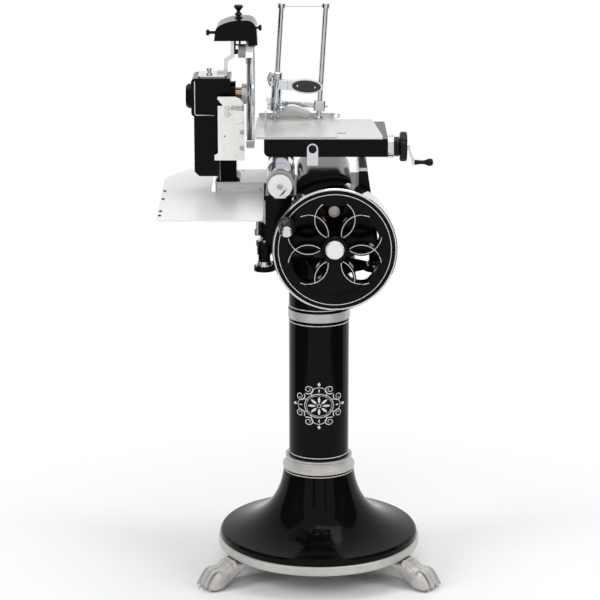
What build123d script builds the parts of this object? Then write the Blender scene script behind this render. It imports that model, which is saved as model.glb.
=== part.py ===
from build123d import *
from math import atan2, cos, degrees, hypot, pi, radians, sin, tan
import os

# Hand crank meat slicer on its pedestal. Millimetres, +Z up, origin on the floor under the column's axis.
# The flywheel faces -Y, the blade stands in the YZ plane on the -X side.

# ---- fits ----
SEAT = 0.05          # radial room where one fixed piece is pushed into another
RUN = 0.06           # radial running fit of shafts and slides
GAP = 0.4            # smallest room between pieces that pass each other

# ---- pedestal ----
FOOT_TOP = 69.0      # underside of the foot ring
TOE_REACH = 352.0    # from the column's axis to the tip of a paw
FOOT_ANGLES = (90.0, 210.0, 330.0)
RING_R = 263.0
RING_IN_R = 205.0
RING_H = 25.0
BELL_WALL = 8.0
BELL_TOP = 280.0
NECK_R = 91.0
COLUMN_R = 77.5
COLUMN_WALL = 5.0
COLLAR_H = 33.0
COLLAR_R = 93.5
BAND_Z = 684.0
BAND_H = 23.0
BAND_R = 79.6
HEAD_TOP = 850.0
HEAD_T = 12.0
HEAD_R = 92.0
ARM_W = 40.0
TIE_R = 8.0
TIE_NUT_H = 11.0
TIE_NUT_AF = 26.0

# ---- slicer base ----
FOOT_X = 138.0       # slicer feet, each side of the column
FOOT_Y = 138.0
CUP_R = 21.0
CUP_H = 12.0
LEG_R = 15.0
LEG_H = 18.0
BASE_WALL = 7.0
BASE_HALF_Y = 135.0
BASE_LEFT = -135.0
BASE_RIGHT = 150.0
SHOULDER_Z = 1027.0  # left shoulder and the arm to the blade
CASE_TOP = 1085.0
CASE_LEFT = -58.0
CASE_RIGHT = 80.0
CASE_ROUND = 38.0
RAIL_Z = 1092.0      # top of the right wing
RAIL_X0 = 96.0
RAIL_X1 = 118.0
RAIL_T = 8.0
RAIL_HALF_Y = 150.0
ARM_LEFT = -264.0
ARM_BOTTOM = 940.0
DECK_T = 3.0
DECK_X0 = -266.0
DECK_X1 = -112.0
DECK_Y0 = 20.0
DECK_Y1 = 190.0

# ---- round guide bar ----
BAR_X = -98.0
BAR_Z = 1063.5
BAR_R = 27.0
BAR_WALL = 5.0
BAR_Y0 = -196.0
BAR_Y1 = 176.0
BAR_CAP_R = 29.4
BAR_CAP_T = 6.0
BAR_POST_T = 26.0
SUPPORT_FOOT = 7.0
BAR_POST_W = 30.0
BAR_EYE_R = 33.0

# ---- flywheel and gear train ----
WHEEL_X = 36.0
WHEEL_Z = 916.0
WHEEL_R = 153.0
WHEEL_GAP = 29.0     # between the casting and the back of the rim
WHEEL_W = 88.0
RIM_BAND_T = 5.0
RIM_IN_R = 113.0
WEB_SET = 4.0        # the web lies this far behind the rim's face
WEB_T = 30.0
PETAL_R = 49.0       # circles that draw the six petals
PETAL_AT = 75.0
STRIPE_EDGE = 4.0    # metal left each side of a petal circle
HUB_R = 33.0
HUB_BACK = 18.0      # the hub stands this far out behind the rim
HUB_CAP_R = 23.0
HUB_CAP_T = 5.0
SHAFT_R = 14.0
SHAFT_END_Y = -25.0
HANDLE_AT = 135.0
HANDLE_ANGLE = 150.0
PIN_R = 6.0
GRIP_L = 96.0
GRIP_R = 20.5
GEAR_M = 3.0
GEAR_T = 32
PINION_T = 16
GEAR_Y = -60.0
GEAR_W = 16.0
LAY_R = 10.0
MITRE_T = 16
MITRE_R = 20.0
MITRE_FACE = 6.0
CROSS_Y = 80.0
CROSS_R = 10.0
BUSH_T = 4.0
CHAIN_PITCH = 8.0
CHAIN_T = 6.0
CHAIN_W = 7.0
CHAIN_X = -234.0
CHAIN_ROOM_Y0 = 28.0   # space in the arm and deck for the leaning chain
CHAIN_ROOM_Y1 = 124.0
DRIVE_TEETH = 24
BLADE_TEETH = 12

# ---- blade and housing ----
BLADE_R = 132.5
BLADE_X = -168.0     # flat side of the blade, towards the meat
BLADE_T = 3.5
BLADE_Y = 0.0
BLADE_Z = 1260.0
BLADE_SHAFT_R = 12.0
SLEEVE_R = 17.0
HUB_FLANGE_R = 34.0
GUARD_IN_R = 133.7
GUARD_T = 2.6
GUARD_X0 = -183.0
GUARD_X1 = -164.5
GUARD_OPEN = 50.0    # half of the open arc that faces the operator, degrees
HOUSE_X0 = -320.0
HOUSE_X1 = -222.0
HOUSE_Y0 = -55.0
HOUSE_Y1 = 60.0
HOUSE_Z0 = 1211.0
HOUSE_Z1 = 1307.0
CASE_X0 = -314.0
CASE_X1 = -255.0
CASE_Z0 = 1058.0
COLUMN_X0 = -257.0
COLUMN_X1 = -210.0
HOUSE_WALL = 6.0
CHAIN_ROOM = 3.0
HOUSE_CAP_R = 31.0
HOUSE_CAP_T = 15.0
TOP_PLATE_T = 4.0
DEFLECT_Y = -80.0
DEFLECT_T = 3.0

# ---- tray ----
TRAY_X0 = -400.0
TRAY_X1 = -140.0
TRAY_NOTCH_X = -276.0
TRAY_NOTCH_Y = 15.0
TRAY_Y0 = -240.0
TRAY_Y1 = 240.0
TRAY_T = 4.0
TRAY_Z = 1001.0      # underside at Y 0
TRAY_SLOPE = 3.9

# ---- sharpener ----
COVER_X0 = -262.0
COVER_X1 = -154.0
COVER_HALF_Y = 55.0
COVER_Z0 = 1400.0
COVER_Z1 = 1451.0
COVER_DROP = 11.0    # how far the blade end of the cover hangs lower
COVER_WALL = 3.0
KNOB_X = -202.0
KNOB_H = 33.0
STONE_R = 15.0
GRIND_Y = -12.0
GRIND_UP = 16.0        # pushing spindle above the hood's lower edge
HONE_Y = -12.0
HONE_UP = 28.0
HONE_R = 7.0
HONE_X0 = -166.4      # grinding face of the small stone
HONE_T = 3.4
HONE_IN = 8.5         # small stone inside the blade's edge
STONE_IN = 24.5        # middle of the large stone inside the blade's edge
STONE_X0 = -203.0
POST_X0 = -222.0      # bar inside the hood
POST_T = 8.0
POST_ROOM = 9.0       # from the hood's crown down to the top of the bar
STONE_X1 = -184.0
YOKE_X0 = -219.0      # fork of the large stone
YOKE_X1 = -209.5
HONE_END = -194.5     # inner end of the small stone's spindle
PRESS = 12.0          # travel of the grinding stone
HONE_PRESS = 1.2

# ---- carriage ----
STROKE = 100.0       # each way
BOX_X0 = -138.0
BOX_X1 = 168.5
BOX_HALF_Y = 125.0
BOX_Z0 = 1122.7
BOX_Z1 = 1168.0
BOX_WALL = 4.0
TOP_T = 3.0
TOP_X0 = -158.0
TOP_X1 = 155.0
TOP_X1_BACK = 137.0
TOP_Y0 = -131.0
TOP_Y1 = 143.0
RUNNER_HALF = 38.0
RUNNER_R = 36.0
ROLLER_R = 9.0
ROLLER_W = 12.0
SCREW_Y = -60.0
SCREW_Z = 1137.0
SCREW_R = 6.0
RING_X0 = 168.5
RING_W = 18.0
DIAL_R = 28.0
WHEEL_DIAL_R = 37.0
CRANK_SWING = 40.0
GRIP2_L = 46.0
LEVER_X = -18.0
LEVER_Z = 1143.0
LEVER_PIN_R = 4.0
NUT_X0 = -70.0
NUT_X1 = -46.0

# ---- meat table and clamp ----
FEED = 110.0
TABLE_T = 3.0
TABLE_X0 = -161.0
TABLE_X1 = 43.0
TABLE_Y1 = 150.0
FENCE_H = 12.0
ROD_R = 7.0
ROD_Y = 134.0
ROD_TILT = 3.5
ROD_LEFT = -114.0
ROD_RIGHT = -1.0
ROD_L = 297.0
CLAMP_H = 24.0       # underside of the clamp's casting above the table top
CLAMP_RUN = 0.12     # both rods pass through one casting, so its bores are a little wider
BOSS_R = 14.0
BOSS_TOP = 121.0
PLATE_X = -22.0
PLATE_Y0 = -150.0
PLATE_Y1 = -36.0
PLATE_LOW = 5.0
PLATE_HIGH = 62.0
LOCK_X = 14.0
LOCK_Z = 34.0
LOCK_PIN_R = 4.0
HANDLE_Z = 92.0
HANDLE_Y0 = -26.0
HANDLE_Y1 = -14.0
SCALE_T = 4.0
SCALE_X = 76.0

WHEEL_Y0 = -BASE_HALF_Y - WHEEL_GAP - WHEEL_W
BAR_POST_Y = RUNNER_HALF + STROKE + BAR_POST_T / 2 + 4
GRIND_Z = COVER_Z0 + GRIND_UP
HONE_Z = COVER_Z0 + HONE_UP
STONE_Z = BLADE_Z + BLADE_R - STONE_IN
HONE_STONE_Z = BLADE_Z + BLADE_R - HONE_IN
POST_TOP = COVER_Z1 - POST_ROOM
ROD_SIN = sin(radians(ROD_TILT))
ROD_COS = cos(radians(ROD_TILT))
ROD_SPAN = (ROD_RIGHT - ROD_LEFT) * ROD_COS
RING_Z = FOOT_TOP + RING_H
CUP_TOP = HEAD_TOP + CUP_H
BASE_Z = CUP_TOP + LEG_H
GEAR_R = GEAR_M * GEAR_T / 2
PINION_R = GEAR_M * PINION_T / 2
LAY_Z = WHEEL_Z + GEAR_R + PINION_R
DECK_Z = SHOULDER_Z + DECK_T
DRIVE_R = DRIVE_TEETH * CHAIN_PITCH / (2 * pi)
TOP_R = BLADE_TEETH * CHAIN_PITCH / (2 * pi)
TOP_Z = BOX_Z1 + TOP_T
TABLE_Z = TOP_Z + GAP
TABLE_TOP = TABLE_Z + TABLE_T


# ---- shared shapes ----
def block(x0, x1, y0, y1, z0, z1):
    """Box between three pairs of limits."""
    return Pos((x0 + x1) / 2, (y0 + y1) / 2, (z0 + z1) / 2) * Box(x1 - x0, y1 - y0, z1 - z0)


def rod_x(r, x0, x1, y, z):
    """Round bar along X."""
    return Pos((x0 + x1) / 2, y, z) * Rot(0, 90, 0) * Cylinder(r, x1 - x0)


def rod_y(r, x, y0, y1, z):
    """Round bar along Y."""
    return Pos(x, (y0 + y1) / 2, z) * Rot(90, 0, 0) * Cylinder(r, y1 - y0)


def rod_z(r, x, y, z0, z1):
    """Round bar along Z."""
    return Pos(x, y, (z0 + z1) / 2) * Cylinder(r, z1 - z0)


def outline(points):
    """Closed straight-sided face in the local plane."""
    return make_face(Polyline(*points, close=True))


def turned(points):
    """Solid turned about Z from a half section of (radius, height) points."""
    return revolve(Plane.XZ * outline(points), Axis.Z)


def slab_y(face, y0, y1):
    """Face drawn in (x, z), given a thickness from y0 to y1."""
    return extrude(Plane.XZ.offset(-y0) * face, amount=-(y1 - y0))


def slab_x(face, x0, x1):
    """Face drawn in (y, z), given a thickness from x0 to x1."""
    return extrude(Plane.YZ.offset(x0) * face, amount=x1 - x0)


def belt(y_low, z_low, r_low, y_top, z_top, r_top):
    """Outline round two circles in (y, z), as a chain runs round its wheels."""
    span = hypot(y_top - y_low, z_top - z_low)
    lean = atan2(z_top - z_low, y_top - y_low)
    sides = []
    for sign in (1, -1):
        normal = lean + sign * (pi / 2 - atan2(r_low - r_top, span))
        sides.append((cos(normal), sin(normal)))
    (ay, az), (by, bz) = sides
    low_a = (y_low + r_low * ay, z_low + r_low * az)
    low_b = (y_low + r_low * by, z_low + r_low * bz)
    top_a = (y_top + r_top * ay, z_top + r_top * az)
    top_b = (y_top + r_top * by, z_top + r_top * bz)
    low_mid = (y_low - r_low * cos(lean), z_low - r_low * sin(lean))
    top_mid = (y_top + r_top * cos(lean), z_top + r_top * sin(lean))
    edges = [
        Line(low_a, top_a),
        ThreePointArc(top_a, top_mid, top_b),
        Line(top_b, low_b),
        ThreePointArc(low_b, low_mid, low_a),
    ]
    return make_face(edges)


def spur(teeth, module, width, first=0.0):
    """Straight-toothed gear about Z, with tapered teeth and a little backlash."""
    root = module * teeth / 2 - 1.2 * module
    tip = module * teeth / 2 + 0.9 * module
    wide = 0.27 * pi * module
    slim = 0.13 * pi * module
    tooth = outline([(root - 1, -wide), (root, -wide), (tip, -slim), (tip, slim), (root, wide), (root - 1, wide)])
    gear = Cylinder(root, width)
    teeth_made = [
        Rot(0, 0, first + 360 * k / teeth) * extrude(tooth, amount=width / 2, both=True) for k in range(round(teeth))
    ]
    return gear.fuse(*teeth_made)


def mitre(first=0.0):
    """Mitre gear about Z with its cone's tip at the origin and its back at -Z."""
    back = MITRE_R
    front = MITRE_R - MITRE_FACE
    deep = 2.4
    body = turned([(0, -back - 8), (11, -back - 8), (back - deep, -back - deep), (front - deep, -front - deep),
                   (0, -front - deep)])
    tooth_side = outline([(back - deep - 1.5, -back - deep - 1.5), (back + 1.3, -back + 1.3),
                          (front + 1.0, -front + 1.0), (front - deep - 1.5, -front - deep - 1.5)])
    tooth = extrude(Plane.XZ * tooth_side, amount=0.95, both=True)
    teeth_made = [Rot(0, 0, first + 360 * k / MITRE_T) * tooth for k in range(round(MITRE_T))]
    return body.fuse(*teeth_made)


# ---- pedestal ----
def claw_foot():
    """Paw that carries the ring: a folded ankle that widens into four toes with claws."""
    sections = [(TOE_REACH - 122, 76, 34, FOOT_TOP - 17), (TOE_REACH - 92, 60, 50, FOOT_TOP - 28),
                (TOE_REACH - 64, 60, 46, 27), (TOE_REACH - 40, 76, 36, 18), (TOE_REACH - 20, 80, 26, 13)]
    faces = []
    for x, wide, high, z in sections:
        plane = Plane(origin=(x, 0, z), x_dir=(0, 1, 0), z_dir=(1, 0, 0))
        faces.append(plane * RectangleRounded(wide, high, min(wide, high) * 0.38))
    paw = loft(faces)
    pieces = [block(RING_IN_R + 3, RING_R - 5, -34, 34, FOOT_TOP - 9, FOOT_TOP)]
    for x, z, half in ((TOE_REACH - 84, FOOT_TOP - 9, 24), (TOE_REACH - 68, FOOT_TOP - 20, 25)):
        fold = rod_y(7.5, x, -half - 6, half + 6, z)
        pieces.append(fillet(fold.edges().filter_by(GeomType.CIRCLE), 6))
    for k in range(4):
        y = (k - 1.5) * 20.5
        reach = TOE_REACH - 15 - 4 * abs(k - 1.5)
        pieces.append(rod_x(11, reach - 26, reach, y, 11))
        pieces.append(Pos(reach, y, 11) * Sphere(11.4))
        pieces.append(Pos(reach - 13, y, 18) * Sphere(9.5))
        claw = Pos(reach + 10, y, 7) * Rot(0, 115, 0) * Cone(5.2, 1.0, 16)
        pieces.append(claw)
    foot = paw.fuse(*pieces)
    return foot & block(TOE_REACH - 150, TOE_REACH + 10, -60, 60, 0, FOOT_TOP)


def base_ring():
    ring = turned([(RING_IN_R, FOOT_TOP), (RING_R, FOOT_TOP), (RING_R, RING_Z), (RING_IN_R, RING_Z)])
    rims = ring.edges().filter_by(GeomType.CIRCLE).group_by(SortBy.RADIUS)[-1]
    return fillet(rims, 5)


def bell_section(inset, top_z, bottom_z):
    """Half section of the bell, drawn inset by its wall."""
    rim = RING_R - 5 - inset
    neck = NECK_R - inset
    crease = RING_Z + 18 - inset
    edges = [
        Line((0, bottom_z), (rim, bottom_z)),
        Line((rim, bottom_z), (rim, crease - 6)),
        Line((rim, crease - 6), (rim - 5, crease)),
        Bezier((rim - 5, crease), (rim - 95, crease + 16), (neck + 10, crease + 62), (neck, top_z)),
        Line((neck, top_z), (0, top_z)),
        Line((0, top_z), (0, bottom_z)),
    ]
    return make_face(edges)


def pedestal_base():
    outer = revolve(Plane.XZ * bell_section(0, BELL_TOP, RING_Z), Axis.Z)
    inner = revolve(Plane.XZ * bell_section(BELL_WALL, BELL_TOP - BELL_WALL, RING_Z - 1), Axis.Z)
    return outer - inner - rod_z(TIE_R + SEAT, 0, 0, RING_Z, BELL_TOP + 1)


def column_bands():
    """Neck collar and the plain band higher up, both pushed over the column."""
    bore = COLUMN_R + SEAT
    z = BELL_TOP
    collar = turned([(bore, z), (COLLAR_R, z), (COLLAR_R, z + 9), (COLLAR_R - 3, z + 12), (COLLAR_R - 10, z + 20),
                     (COLLAR_R - 11, z + 26), (COLLAR_R - 7, z + COLLAR_H - 4), (COLLAR_R - 7, z + COLLAR_H),
                     (bore, z + COLLAR_H)])
    band = turned([(bore, BAND_Z), (BAND_R, BAND_Z), (BAND_R, BAND_Z + BAND_H), (bore, BAND_Z + BAND_H)])
    return Compound([collar, band])


def column_tube():
    top = HEAD_TOP - HEAD_T
    return rod_z(COLUMN_R, 0, 0, BELL_TOP, top) - rod_z(COLUMN_R - COLUMN_WALL, 0, 0, BELL_TOP - 1, top + 1)


def stand_head():
    """Four-armed plate on the column, ribbed below, with a round pad under each slicer foot."""
    head = rod_z(HEAD_R, 0, 0, HEAD_TOP - HEAD_T, HEAD_TOP)
    spread = hypot(FOOT_X, FOOT_Y)
    pieces = []
    for k in range(4):
        angle = 45 + 90 * k
        arm = block(0, spread, -ARM_W / 2, ARM_W / 2, HEAD_TOP - HEAD_T, HEAD_TOP)
        rib_face = outline([(COLUMN_R + 1, HEAD_TOP - HEAD_T), (COLUMN_R + 1, HEAD_TOP - 44),
                            (spread - 20, HEAD_TOP - HEAD_T)])
        rib = slab_y(rib_face, -5, 5)
        pad = rod_z(CUP_R + 5, spread, 0, HEAD_TOP - HEAD_T, HEAD_TOP)
        pieces.extend([Rot(0, 0, angle) * p for p in (arm, rib, pad)])
    return head.fuse(*pieces) - rod_z(TIE_R + SEAT, 0, 0, HEAD_TOP - 20, HEAD_TOP + 1)


def tie_rod():
    """Long rod that clamps bell, column and head together, with a nut at each end."""
    low = BELL_TOP - BELL_WALL - TIE_NUT_H
    high = HEAD_TOP + TIE_NUT_H
    rod = rod_z(TIE_R, 0, 0, low - 6, high)
    nut = extrude(RegularPolygon(TIE_NUT_AF / 2, 6, major_radius=False), amount=TIE_NUT_H)
    return rod.fuse(Pos(0, 0, low) * nut, Pos(0, 0, HEAD_TOP) * nut)


def hex_bolt(r, length, af, head_h):
    """Hexagon bolt that points up, its head's top at the origin."""
    head = extrude(RegularPolygon(af / 2, 6, major_radius=False), amount=-head_h)
    return head.fuse(rod_z(r, 0, 0, -head_h, length))


def stand_bolts():
    """Tie rod through the column, and the bolts that hold the paws to the ring from below."""
    bolt = Pos(RING_IN_R + 14, 0, FOOT_TOP - 9) * hex_bolt(6, 26, 19, 8)
    return Compound([tie_rod()] + [Rot(0, 0, a) * bolt for a in FOOT_ANGLES])


def foot_bolt_holes(extra):
    hole = rod_z(6 + extra, RING_IN_R + 14, 0, FOOT_TOP - 20, RING_Z - 8)
    return [Rot(0, 0, a) * hole for a in FOOT_ANGLES]


def foot_cups():
    """Cups on the head that take the slicer's four feet."""
    cup = turned([(0, 0), (CUP_R, 0), (CUP_R, 4), (LEG_R + 2, CUP_H), (0, CUP_H)])
    spots = [(sx * FOOT_X, sy * FOOT_Y) for sx in (-1, 1) for sy in (-1, 1)]
    return Compound([Pos(x, y, HEAD_TOP) * cup for x, y in spots])


# ---- slicer base ----
def base_face():
    """Front outline of the base casting: left shoulder, rounded gear case and right wing."""
    k = CASE_ROUND
    valley = SHOULDER_Z + 6
    edges = [
        Line((BASE_LEFT, BASE_Z), (BASE_LEFT, SHOULDER_Z)),
        Line((BASE_LEFT, SHOULDER_Z), (CASE_LEFT, SHOULDER_Z)),
        Line((CASE_LEFT, SHOULDER_Z), (CASE_LEFT, CASE_TOP - k)),
        RadiusArc((CASE_LEFT, CASE_TOP - k), (CASE_LEFT + k, CASE_TOP), k),
        Line((CASE_LEFT + k, CASE_TOP), (CASE_RIGHT - k, CASE_TOP)),
        RadiusArc((CASE_RIGHT - k, CASE_TOP), (CASE_RIGHT, CASE_TOP - k), k),
        Line((CASE_RIGHT, CASE_TOP - k), (CASE_RIGHT, valley)),
        Line((CASE_RIGHT, valley), (RAIL_X0, valley)),
        Line((RAIL_X0, valley), (RAIL_X0, RAIL_Z)),
        Line((RAIL_X0, RAIL_Z), (RAIL_X1, RAIL_Z)),
        Line((RAIL_X1, RAIL_Z), (BASE_RIGHT, BASE_Z)),
        Line((BASE_RIGHT, BASE_Z), (BASE_LEFT, BASE_Z)),
    ]
    return make_face(edges)


def machine_base():
    """Hollow casting, open below, with foot lugs and a hollow arm that reaches under the blade column."""
    outer = slab_y(base_face(), -BASE_HALF_Y, BASE_HALF_Y)
    inner = slab_y(offset(base_face(), -BASE_WALL), -BASE_HALF_Y + BASE_WALL, BASE_HALF_Y - BASE_WALL)
    skirt = block(BASE_LEFT + BASE_WALL, BASE_RIGHT - BASE_WALL - 2, -BASE_HALF_Y + BASE_WALL,
                  BASE_HALF_Y - BASE_WALL, BASE_Z - 1, BASE_Z + BASE_WALL + 1)
    arm = block(ARM_LEFT, BASE_LEFT + 1, CHAIN_ROOM_Y0 - HOUSE_WALL, CHAIN_ROOM_Y1 + HOUSE_WALL,
                ARM_BOTTOM, SHOULDER_Z)
    arm_room = block(ARM_LEFT + HOUSE_WALL, BASE_LEFT, CHAIN_ROOM_Y0, CHAIN_ROOM_Y1,
                     ARM_BOTTOM - 1, SHOULDER_Z - HOUSE_WALL)
    pieces = []
    for sx in (-1, 1):
        for sy in (-1, 1):
            x, y = sx * FOOT_X, sy * FOOT_Y
            pieces.append(rod_z(LEG_R, x, y, CUP_TOP, BASE_Z + 10))
            pieces.append(rod_z(LEG_R + 3, x, y, BASE_Z, BASE_Z + 22))
    casting = (outer - inner - skirt).fuse(arm - arm_room, *pieces)
    for y in (-BASE_HALF_Y + BASE_WALL / 2, SHAFT_END_Y - 12):
        casting = casting.fuse(*bearing_boss(y))
    holes = [
        rod_y(SHAFT_R + BUSH_T + SEAT, WHEEL_X, -BASE_HALF_Y - 30, SHAFT_END_Y + 30, WHEEL_Z),
        rod_y(LAY_R + BUSH_T + SEAT, WHEEL_X, -BASE_HALF_Y - 1, SHAFT_END_Y + 30, LAY_Z),
        rod_x(CROSS_R + BUSH_T + SEAT, BASE_LEFT - 1, BASE_LEFT + 40, CROSS_Y, LAY_Z),
        block(CHAIN_X - CHAIN_W, CHAIN_X + CHAIN_W, CHAIN_ROOM_Y0, CHAIN_ROOM_Y1, SHOULDER_Z - 20, SHOULDER_Z + 1),
    ]
    for hole in holes:
        casting = casting - hole
    return casting


def bearing_boss(y):
    """Web with two round bosses; the inner one hangs from the case roof behind the gears."""
    if y < -BASE_HALF_Y + BASE_WALL:
        return [rod_y(SHAFT_R + BUSH_T + 7, WHEEL_X, -BASE_HALF_Y - 6, -BASE_HALF_Y + 24, WHEEL_Z),
                rod_y(LAY_R + BUSH_T + 6, WHEEL_X, -BASE_HALF_Y + 2, -BASE_HALF_Y + 24, LAY_Z)]
    return [rod_y(SHAFT_R + BUSH_T + 7, WHEEL_X, y - 10, y + 10, WHEEL_Z),
            rod_y(LAY_R + BUSH_T + 6, WHEEL_X, y - 10, y + 10, LAY_Z),
            block(WHEEL_X - 16, WHEEL_X + 16, y - 6, y + 6, WHEEL_Z, CASE_TOP - 3)]


def shaft_bushes():
    """Plain bearing bushes of the wheel shaft, lay shaft, cross shaft and blade shaft."""
    def bush(length, r):
        return Cylinder(r + BUSH_T, length) - Cylinder(r + RUN, length + 2)
    mid = SHAFT_END_Y - 12
    front = -BASE_HALF_Y + 9
    bushes = []
    for z, r in ((WHEEL_Z, SHAFT_R), (LAY_Z, LAY_R)):
        for y, length in ((front, 30), (mid, 20)):
            bushes.append(Pos(WHEEL_X, y, z) * Rot(90, 0, 0) * bush(length, r))
    bushes.append(Pos(BASE_LEFT + BASE_WALL / 2, CROSS_Y, LAY_Z) * Rot(0, 90, 0) * bush(BASE_WALL, CROSS_R))
    return Compound(bushes + blade_bushes())


def slide_bar():
    """Round tube that carries the carriage."""
    return rod_y(BAR_R, BAR_X, BAR_Y0, BAR_Y1, BAR_Z) - rod_y(BAR_R - BAR_WALL, BAR_X, BAR_Y0 - 1, BAR_Y1 + 1, BAR_Z)


def slide_bar_caps():
    """End caps of the tube, each with a spigot and a screw head."""
    cap = turned([(0, 0), (BAR_CAP_R, 0), (BAR_CAP_R, BAR_CAP_T), (BAR_R - BAR_WALL - SEAT, BAR_CAP_T),
                  (BAR_R - BAR_WALL - SEAT, BAR_CAP_T + 10), (0, BAR_CAP_T + 10)])
    head = rod_z(5.5, 0, 0, -2, 0) - block(-6, 6, -0.7, 0.7, -3, -1)
    cap = cap.fuse(head)
    front = Pos(BAR_X, BAR_Y0 - BAR_CAP_T, BAR_Z) * Rot(-90, 0, 0) * cap
    back = Pos(BAR_X, BAR_Y1 + BAR_CAP_T, BAR_Z) * Rot(90, 0, 0) * cap
    return Compound([front, back])


def slide_bar_supports():
    """Two eyes on posts that hold the tube above the casting's left shoulder."""
    posts = []
    half = BAR_POST_W / 2
    for side in (-1, 1):
        y = side * BAR_POST_Y
        reach = side * (BASE_HALF_Y - 14)
        far = y + side * BAR_POST_T / 2
        near = y - side * BAR_POST_T / 2
        eye = rod_y(BAR_EYE_R, BAR_X, min(near, far), max(near, far), BAR_Z)
        post = block(BAR_X - half, BAR_X + half, min(near, far), max(near, far), SHOULDER_Z, BAR_Z)
        foot = block(BAR_X - half, BAR_X + half, min(reach, far), max(reach, far), SHOULDER_Z, SHOULDER_Z + SUPPORT_FOOT)
        bracket = eye + post + foot
        posts.append(bracket - rod_y(BAR_R + SEAT, BAR_X, min(near, far) - 5, max(near, far) + 5, BAR_Z))
    return Compound(posts)


def guide_rail():
    rail = block(RAIL_X0, RAIL_X1, -RAIL_HALF_Y, RAIL_HALF_Y, RAIL_Z, RAIL_Z + RAIL_T)
    return chamfer(rail.edges().filter_by(Axis.Y).group_by(Axis.Z)[-1], 1.5)


def deck_plate():
    deck = block(DECK_X0, DECK_X1, DECK_Y0, DECK_Y1, SHOULDER_Z, DECK_Z)
    deck = fillet(deck.edges().filter_by(Axis.Z), 8)
    post_room = block(BAR_X - BAR_POST_W / 2 - 1, BASE_RIGHT, BASE_HALF_Y - 14, DECK_Y1 + 1, SHOULDER_Z - 1, DECK_Z + 1)
    slot = block(CHAIN_X - CHAIN_W, CHAIN_X + CHAIN_W, CHAIN_ROOM_Y0, CHAIN_ROOM_Y1, SHOULDER_Z - 1, DECK_Z + 1)
    return deck - slot - post_room


# ---- flywheel ----
def petal_cutter(radius, angle):
    return Rot(0, 0, angle) * Pos(PETAL_AT, 0) * Circle(radius)


def petal_openings():
    """Cut-outs between the petal circles: five petals and six slim lenses, with a web along each circle."""
    angles = [60 * k - 90 for k in range(6)]
    field = Circle(RIM_IN_R) - Circle(HUB_R)
    cuts = []
    for k, angle in enumerate(angles):
        left = petal_cutter(PETAL_R + STRIPE_EDGE, angles[k - 1])
        right = petal_cutter(PETAL_R + STRIPE_EDGE, angles[(k + 1) % 6])
        if k != 3:
            cuts.append((petal_cutter(PETAL_R - STRIPE_EDGE, angle) - left - right) & field)
        lens = petal_cutter(PETAL_R - STRIPE_EDGE, angle)
        lens = lens & petal_cutter(PETAL_R - STRIPE_EDGE, angles[(k + 1) % 6])
        cuts.append(lens & field)
    return cuts


def turned_y(points, x, y, z):
    """Solid turned about an axis along Y, from (radius, distance behind y) points."""
    return Pos(x, y, z) * Rot(-90, 0, 0) * turned(points)


def flywheel():
    """Cast wheel with a heavy rim, a pierced petal web and a long hub."""
    outer = WHEEL_R - RIM_BAND_T - SEAT
    rim = turned([(RIM_IN_R, 0), (outer, 0), (outer, WHEEL_W), (RIM_IN_R + 8, WHEEL_W),
                  (RIM_IN_R, WEB_SET + WEB_T)])
    web = Pos(0, 0, WEB_SET) * extrude(Circle(RIM_IN_R + 1), amount=WEB_T)
    for cut in petal_openings():
        web = web - extrude(Pos(0, 0, WEB_SET - 1) * cut, amount=WEB_T + 2)
    hub = turned([(0, 0), (HUB_R - 2, 0), (HUB_R, 2), (HUB_R, WEB_SET + WEB_T), (HUB_R - 6, WHEEL_W + HUB_BACK),
                  (0, WHEEL_W + HUB_BACK)])
    wheel = rim.fuse(web, hub)
    wheel = wheel - rod_z(SHAFT_R + SEAT, 0, 0, -1, WHEEL_W + HUB_BACK + 1)
    px = HANDLE_AT * cos(radians(HANDLE_ANGLE))
    py = -HANDLE_AT * sin(radians(HANDLE_ANGLE))
    wheel = wheel - rod_z(PIN_R + SEAT, px, py, -1, 30)
    return Pos(WHEEL_X, WHEEL_Y0, WHEEL_Z) * Rot(-90, 0, 0) * wheel


def flywheel_rim_band():
    inner = WHEEL_R - RIM_BAND_T
    return turned_y([(inner, 0), (WHEEL_R - 2, 0), (WHEEL_R, 2), (WHEEL_R, WHEEL_W - 2), (WHEEL_R - 2, WHEEL_W),
                     (inner, WHEEL_W)], WHEEL_X, WHEEL_Y0, WHEEL_Z)


def flywheel_hub_cap():
    return turned_y([(0, -HUB_CAP_T), (HUB_CAP_R - 4, -HUB_CAP_T), (HUB_CAP_R, -HUB_CAP_T + 3), (HUB_CAP_R, 0),
                     (0, 0)], WHEEL_X, WHEEL_Y0, WHEEL_Z)


def flywheel_shaft():
    return rod_y(SHAFT_R, WHEEL_X, WHEEL_Y0, SHAFT_END_Y, WHEEL_Z)


def drive_gear():
    """Gear on the wheel shaft, lightened between rim and hub."""
    gear = spur(GEAR_T, GEAR_M, GEAR_W) - rod_z(SHAFT_R + SEAT, 0, 0, -GEAR_W, GEAR_W)
    recess = rod_z(GEAR_R - 9, 0, 0, 3, GEAR_W) - rod_z(SHAFT_R + 7, 0, 0, 3, GEAR_W)
    gear = gear - recess - mirror(recess, Plane.XY)
    return Pos(WHEEL_X, GEAR_Y, WHEEL_Z) * Rot(-90, 0, 0) * gear


def handle_spot():
    """Where the handle's pin stands on the wheel, in X and Z."""
    return (WHEEL_X + HANDLE_AT * cos(radians(HANDLE_ANGLE)), WHEEL_Z + HANDLE_AT * sin(radians(HANDLE_ANGLE)))


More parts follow.
